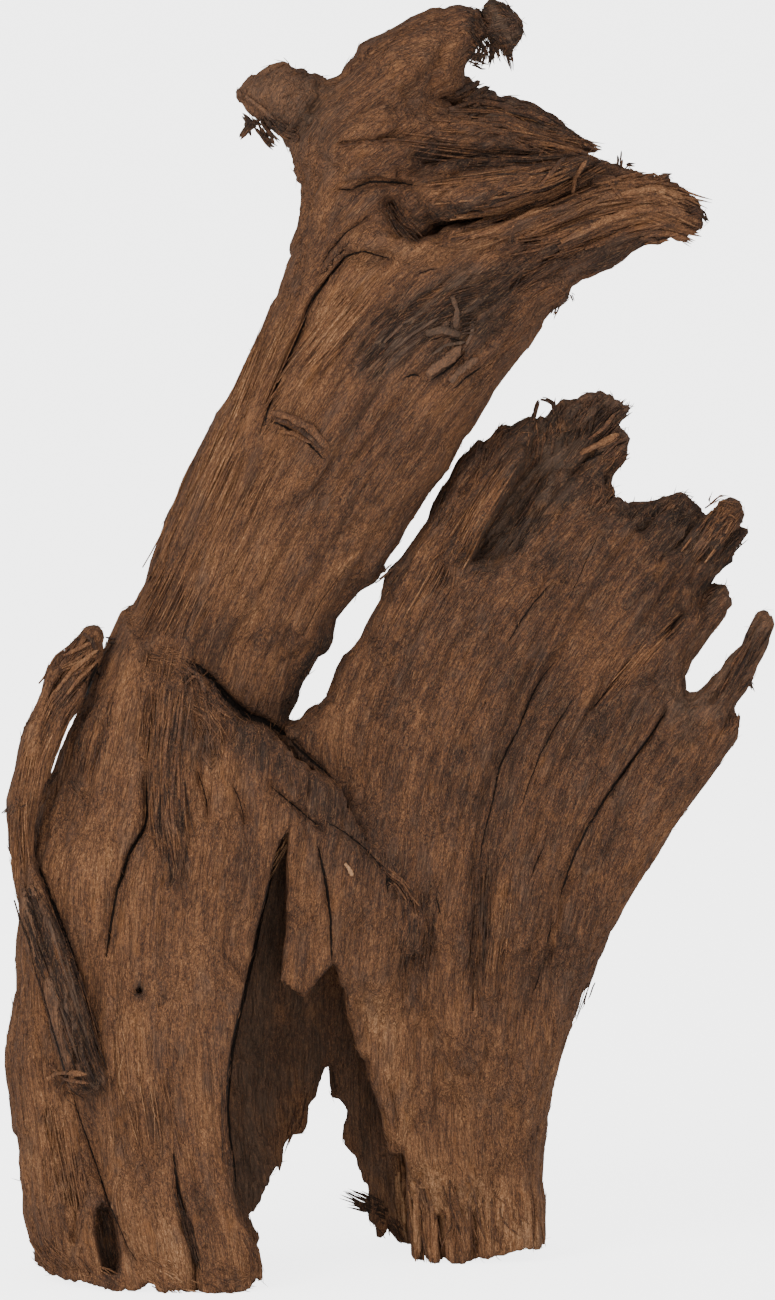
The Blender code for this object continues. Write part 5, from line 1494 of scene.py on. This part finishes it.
# Fuzz all over the skin: short fibres that weathering has raised, lying with the grain.
# They are drawn together and make two pieces, one on the front and one on the back.
FUZZ_COUNT = 16000
FUZZ_JOINTS, FUZZ_SIDES = 4, 3
FUZZ_LONG, FUZZ_THICK = (0.0012, 0.0042), (0.00008, 0.00020)
FUZZ_TURN, FUZZ_BEND, FUZZ_RISE, FUZZ_BACKWARDS = 0.30, 0.3, 0.14, 0.35
FUZZ_LOWEST, FUZZ_SUNK = 0.002, 0.00004
rng = np.random.default_rng(101)
chosen = rng.choice(len(body_points), FUZZ_COUNT, replace=False)
chosen = chosen[body_points[chosen, 2] > FUZZ_LOWEST]
fuzz_across, _, fuzz_height = [line[chosen] for line in body_place]
fuzz_normals = body_normals[chosen].astype(float)
heading = np.column_stack([looked_up(grain_sine, fuzz_across, fuzz_height),
                           np.zeros(len(chosen)),
                           looked_up(grain_cosine, fuzz_across, fuzz_height)])
heading += rng.normal(0.0, FUZZ_TURN, heading.shape)
heading -= np.sum(heading * fuzz_normals, axis=1)[:, None] * fuzz_normals
heading /= np.linalg.norm(heading, axis=1)[:, None]
heading *= np.where(rng.random(len(chosen)) < FUZZ_BACKWARDS, -1.0, 1.0)[:, None]
aside = np.cross(heading, fuzz_normals)
length = rng.uniform(*FUZZ_LONG, len(chosen))[:, None, None]
share = np.linspace(0.0, 1.0, FUZZ_JOINTS)[None, :, None]
bend = rng.normal(0.0, FUZZ_BEND, (len(chosen), 1, 1)) * share ** 2
rise = rng.uniform(0.0, FUZZ_RISE, (len(chosen), 1, 1)) * share
fuzz_spines = body_points[chosen][:, None, :] + length * (
    heading[:, None, :] * share + aside[:, None, :] * bend + fuzz_normals[:, None, :] * rise)
fuzz_spines -= fuzz_normals[:, None, :] * FUZZ_SUNK
fuzz_radii = rng.uniform(*FUZZ_THICK, (len(chosen), 1))
fuzz_tint = np.column_stack([rng.uniform(-0.3, 0.5, len(chosen)),
                             rng.uniform(0.0, 1.0, len(chosen)), np.zeros(len(chosen))])
on_front = fuzz_normals[:, 1] < 0.0
for name, half in (("surface_fuzz", on_front), ("back_fuzz", ~on_front)):
    fuzz_points, fuzz_faces = tubes(fuzz_spines[half], fuzz_radii[half], FUZZ_SIDES)
    fuzz_points[:, 2] = np.maximum(fuzz_points[:, 2], 0.0)
    shades = np.repeat(fuzz_tint[half], FUZZ_JOINTS * FUZZ_SIDES, axis=0)
    fibre_piece(name, fuzz_points, fuzz_faces, shades)

# The place it stands in: a wide, pale, round floor under an even pale sky. The floor
# glows where the camera sees it directly, and that glow lights nothing.
FLOOR_RADIUS, FLOOR_SIDES, FLOOR_GLOW = 14.0, 64, 3.6
PAPER, WHITE, SKY_STRENGTH = (0.88, 0.88, 0.88, 1.0), (1.0, 1.0, 1.0, 1.0), 0.80
turn = np.linspace(0.0, 2.0 * math.pi, FLOOR_SIDES, endpoint=False)
rim = np.column_stack([np.cos(turn), np.sin(turn), np.zeros(len(turn))]) * FLOOR_RADIUS
floor_mesh = make_mesh("floor", rim, np.arange(len(turn))[None, :])
paper = bpy.data.materials.new("pale paper")
paper.use_nodes = True
paper_shader = paper.node_tree.nodes["Principled BSDF"]
paper_shader.inputs["Base Color"].default_value = PAPER
paper_shader.inputs["Roughness"].default_value = 0.9
paper_shader.inputs["Emission Color"].default_value = WHITE
paper_nodes = Nodes(paper.node_tree)
seen_directly = paper_nodes.add("ShaderNodeLightPath").outputs["Is Camera Ray"]
paper_nodes.feed(paper_shader.inputs["Emission Strength"],
                 paper_nodes.math("MULTIPLY", seen_directly, FLOOR_GLOW))
floor = bpy.data.objects.new("floor", floor_mesh)
floor_mesh.materials.append(paper)
bpy.context.scene.collection.objects.link(floor)

world = bpy.data.worlds.new("soft sky")
world.use_nodes = True
sky = world.node_tree.nodes["Background"]
sky.inputs["Color"].default_value = WHITE
sky.inputs["Strength"].default_value = SKY_STRENGTH
bpy.context.scene.world = world


def soft_light(name, place, aim, size, power, colour):
    """A square lamp that looks at a point."""
    lamp = bpy.data.lights.new(name, "AREA")
    lamp.shape, lamp.size, lamp.energy, lamp.color = "SQUARE", size, power, colour
    holder = bpy.data.objects.new(name, lamp)
    holder.location = place
    holder.visible_camera = False
    x, y, z = [a - b for a, b in zip(aim, place)]
    holder.rotation_euler = (math.atan2(math.hypot(x, y), -z), 0.0, math.atan2(-x, y))
    bpy.context.scene.collection.objects.link(holder)


# Lamps: (name, place, aim, size, power, colour), metres and watts
LAMPS = [
    ("key", (-1.1, -1.5, 1.2), (0.0, 0.0, 0.2), 0.9, 28.0, (1.0, 0.97, 0.93)),
    ("fill", (1.4, -1.4, 0.5), (0.0, 0.0, 0.2), 1.2, 8.0, (0.95, 0.97, 1.0)),
    ("front", (0.2, -2.4, 0.25), (0.0, 0.0, 0.15), 0.6, 20.0, (1.0, 0.98, 0.96)),
]
for lamp_row in LAMPS:
    soft_light(*lamp_row)

# The camera looks down on the middle of the drawing from far away, so that the view is
# nearly square, and its lens takes in the drawing's whole height.
CAMERA_AWAY, SENSOR_WIDE, SEEN_FAR = 8.0, 36.0, 40.0
FRAME_MIDDLE = (387.5, 650.0)
FRAME_ROWS = 1300.0
FRAME_TALL = FRAME_ROWS * STEP * 0.001
camera_data = bpy.data.cameras.new("camera")
camera_data.sensor_width = SENSOR_WIDE
camera_data.lens = SENSOR_WIDE * CAMERA_AWAY / FRAME_TALL
camera_data.clip_end = SEEN_FAR
camera = bpy.data.objects.new("camera", camera_data)
aim_across, aim_height = drawn([FRAME_MIDDLE])[0]
aim = stand(np.array([aim_across]), np.array([0.0]), np.array([aim_height]))[0]
camera.location = (aim[0], aim[1] - CAMERA_AWAY * math.cos(TILT),
                   aim[2] + CAMERA_AWAY * math.sin(TILT))
camera.rotation_euler = (math.pi / 2 - TILT, 0.0, 0.0)
bpy.context.scene.collection.objects.link(camera)
bpy.context.scene.camera = camera
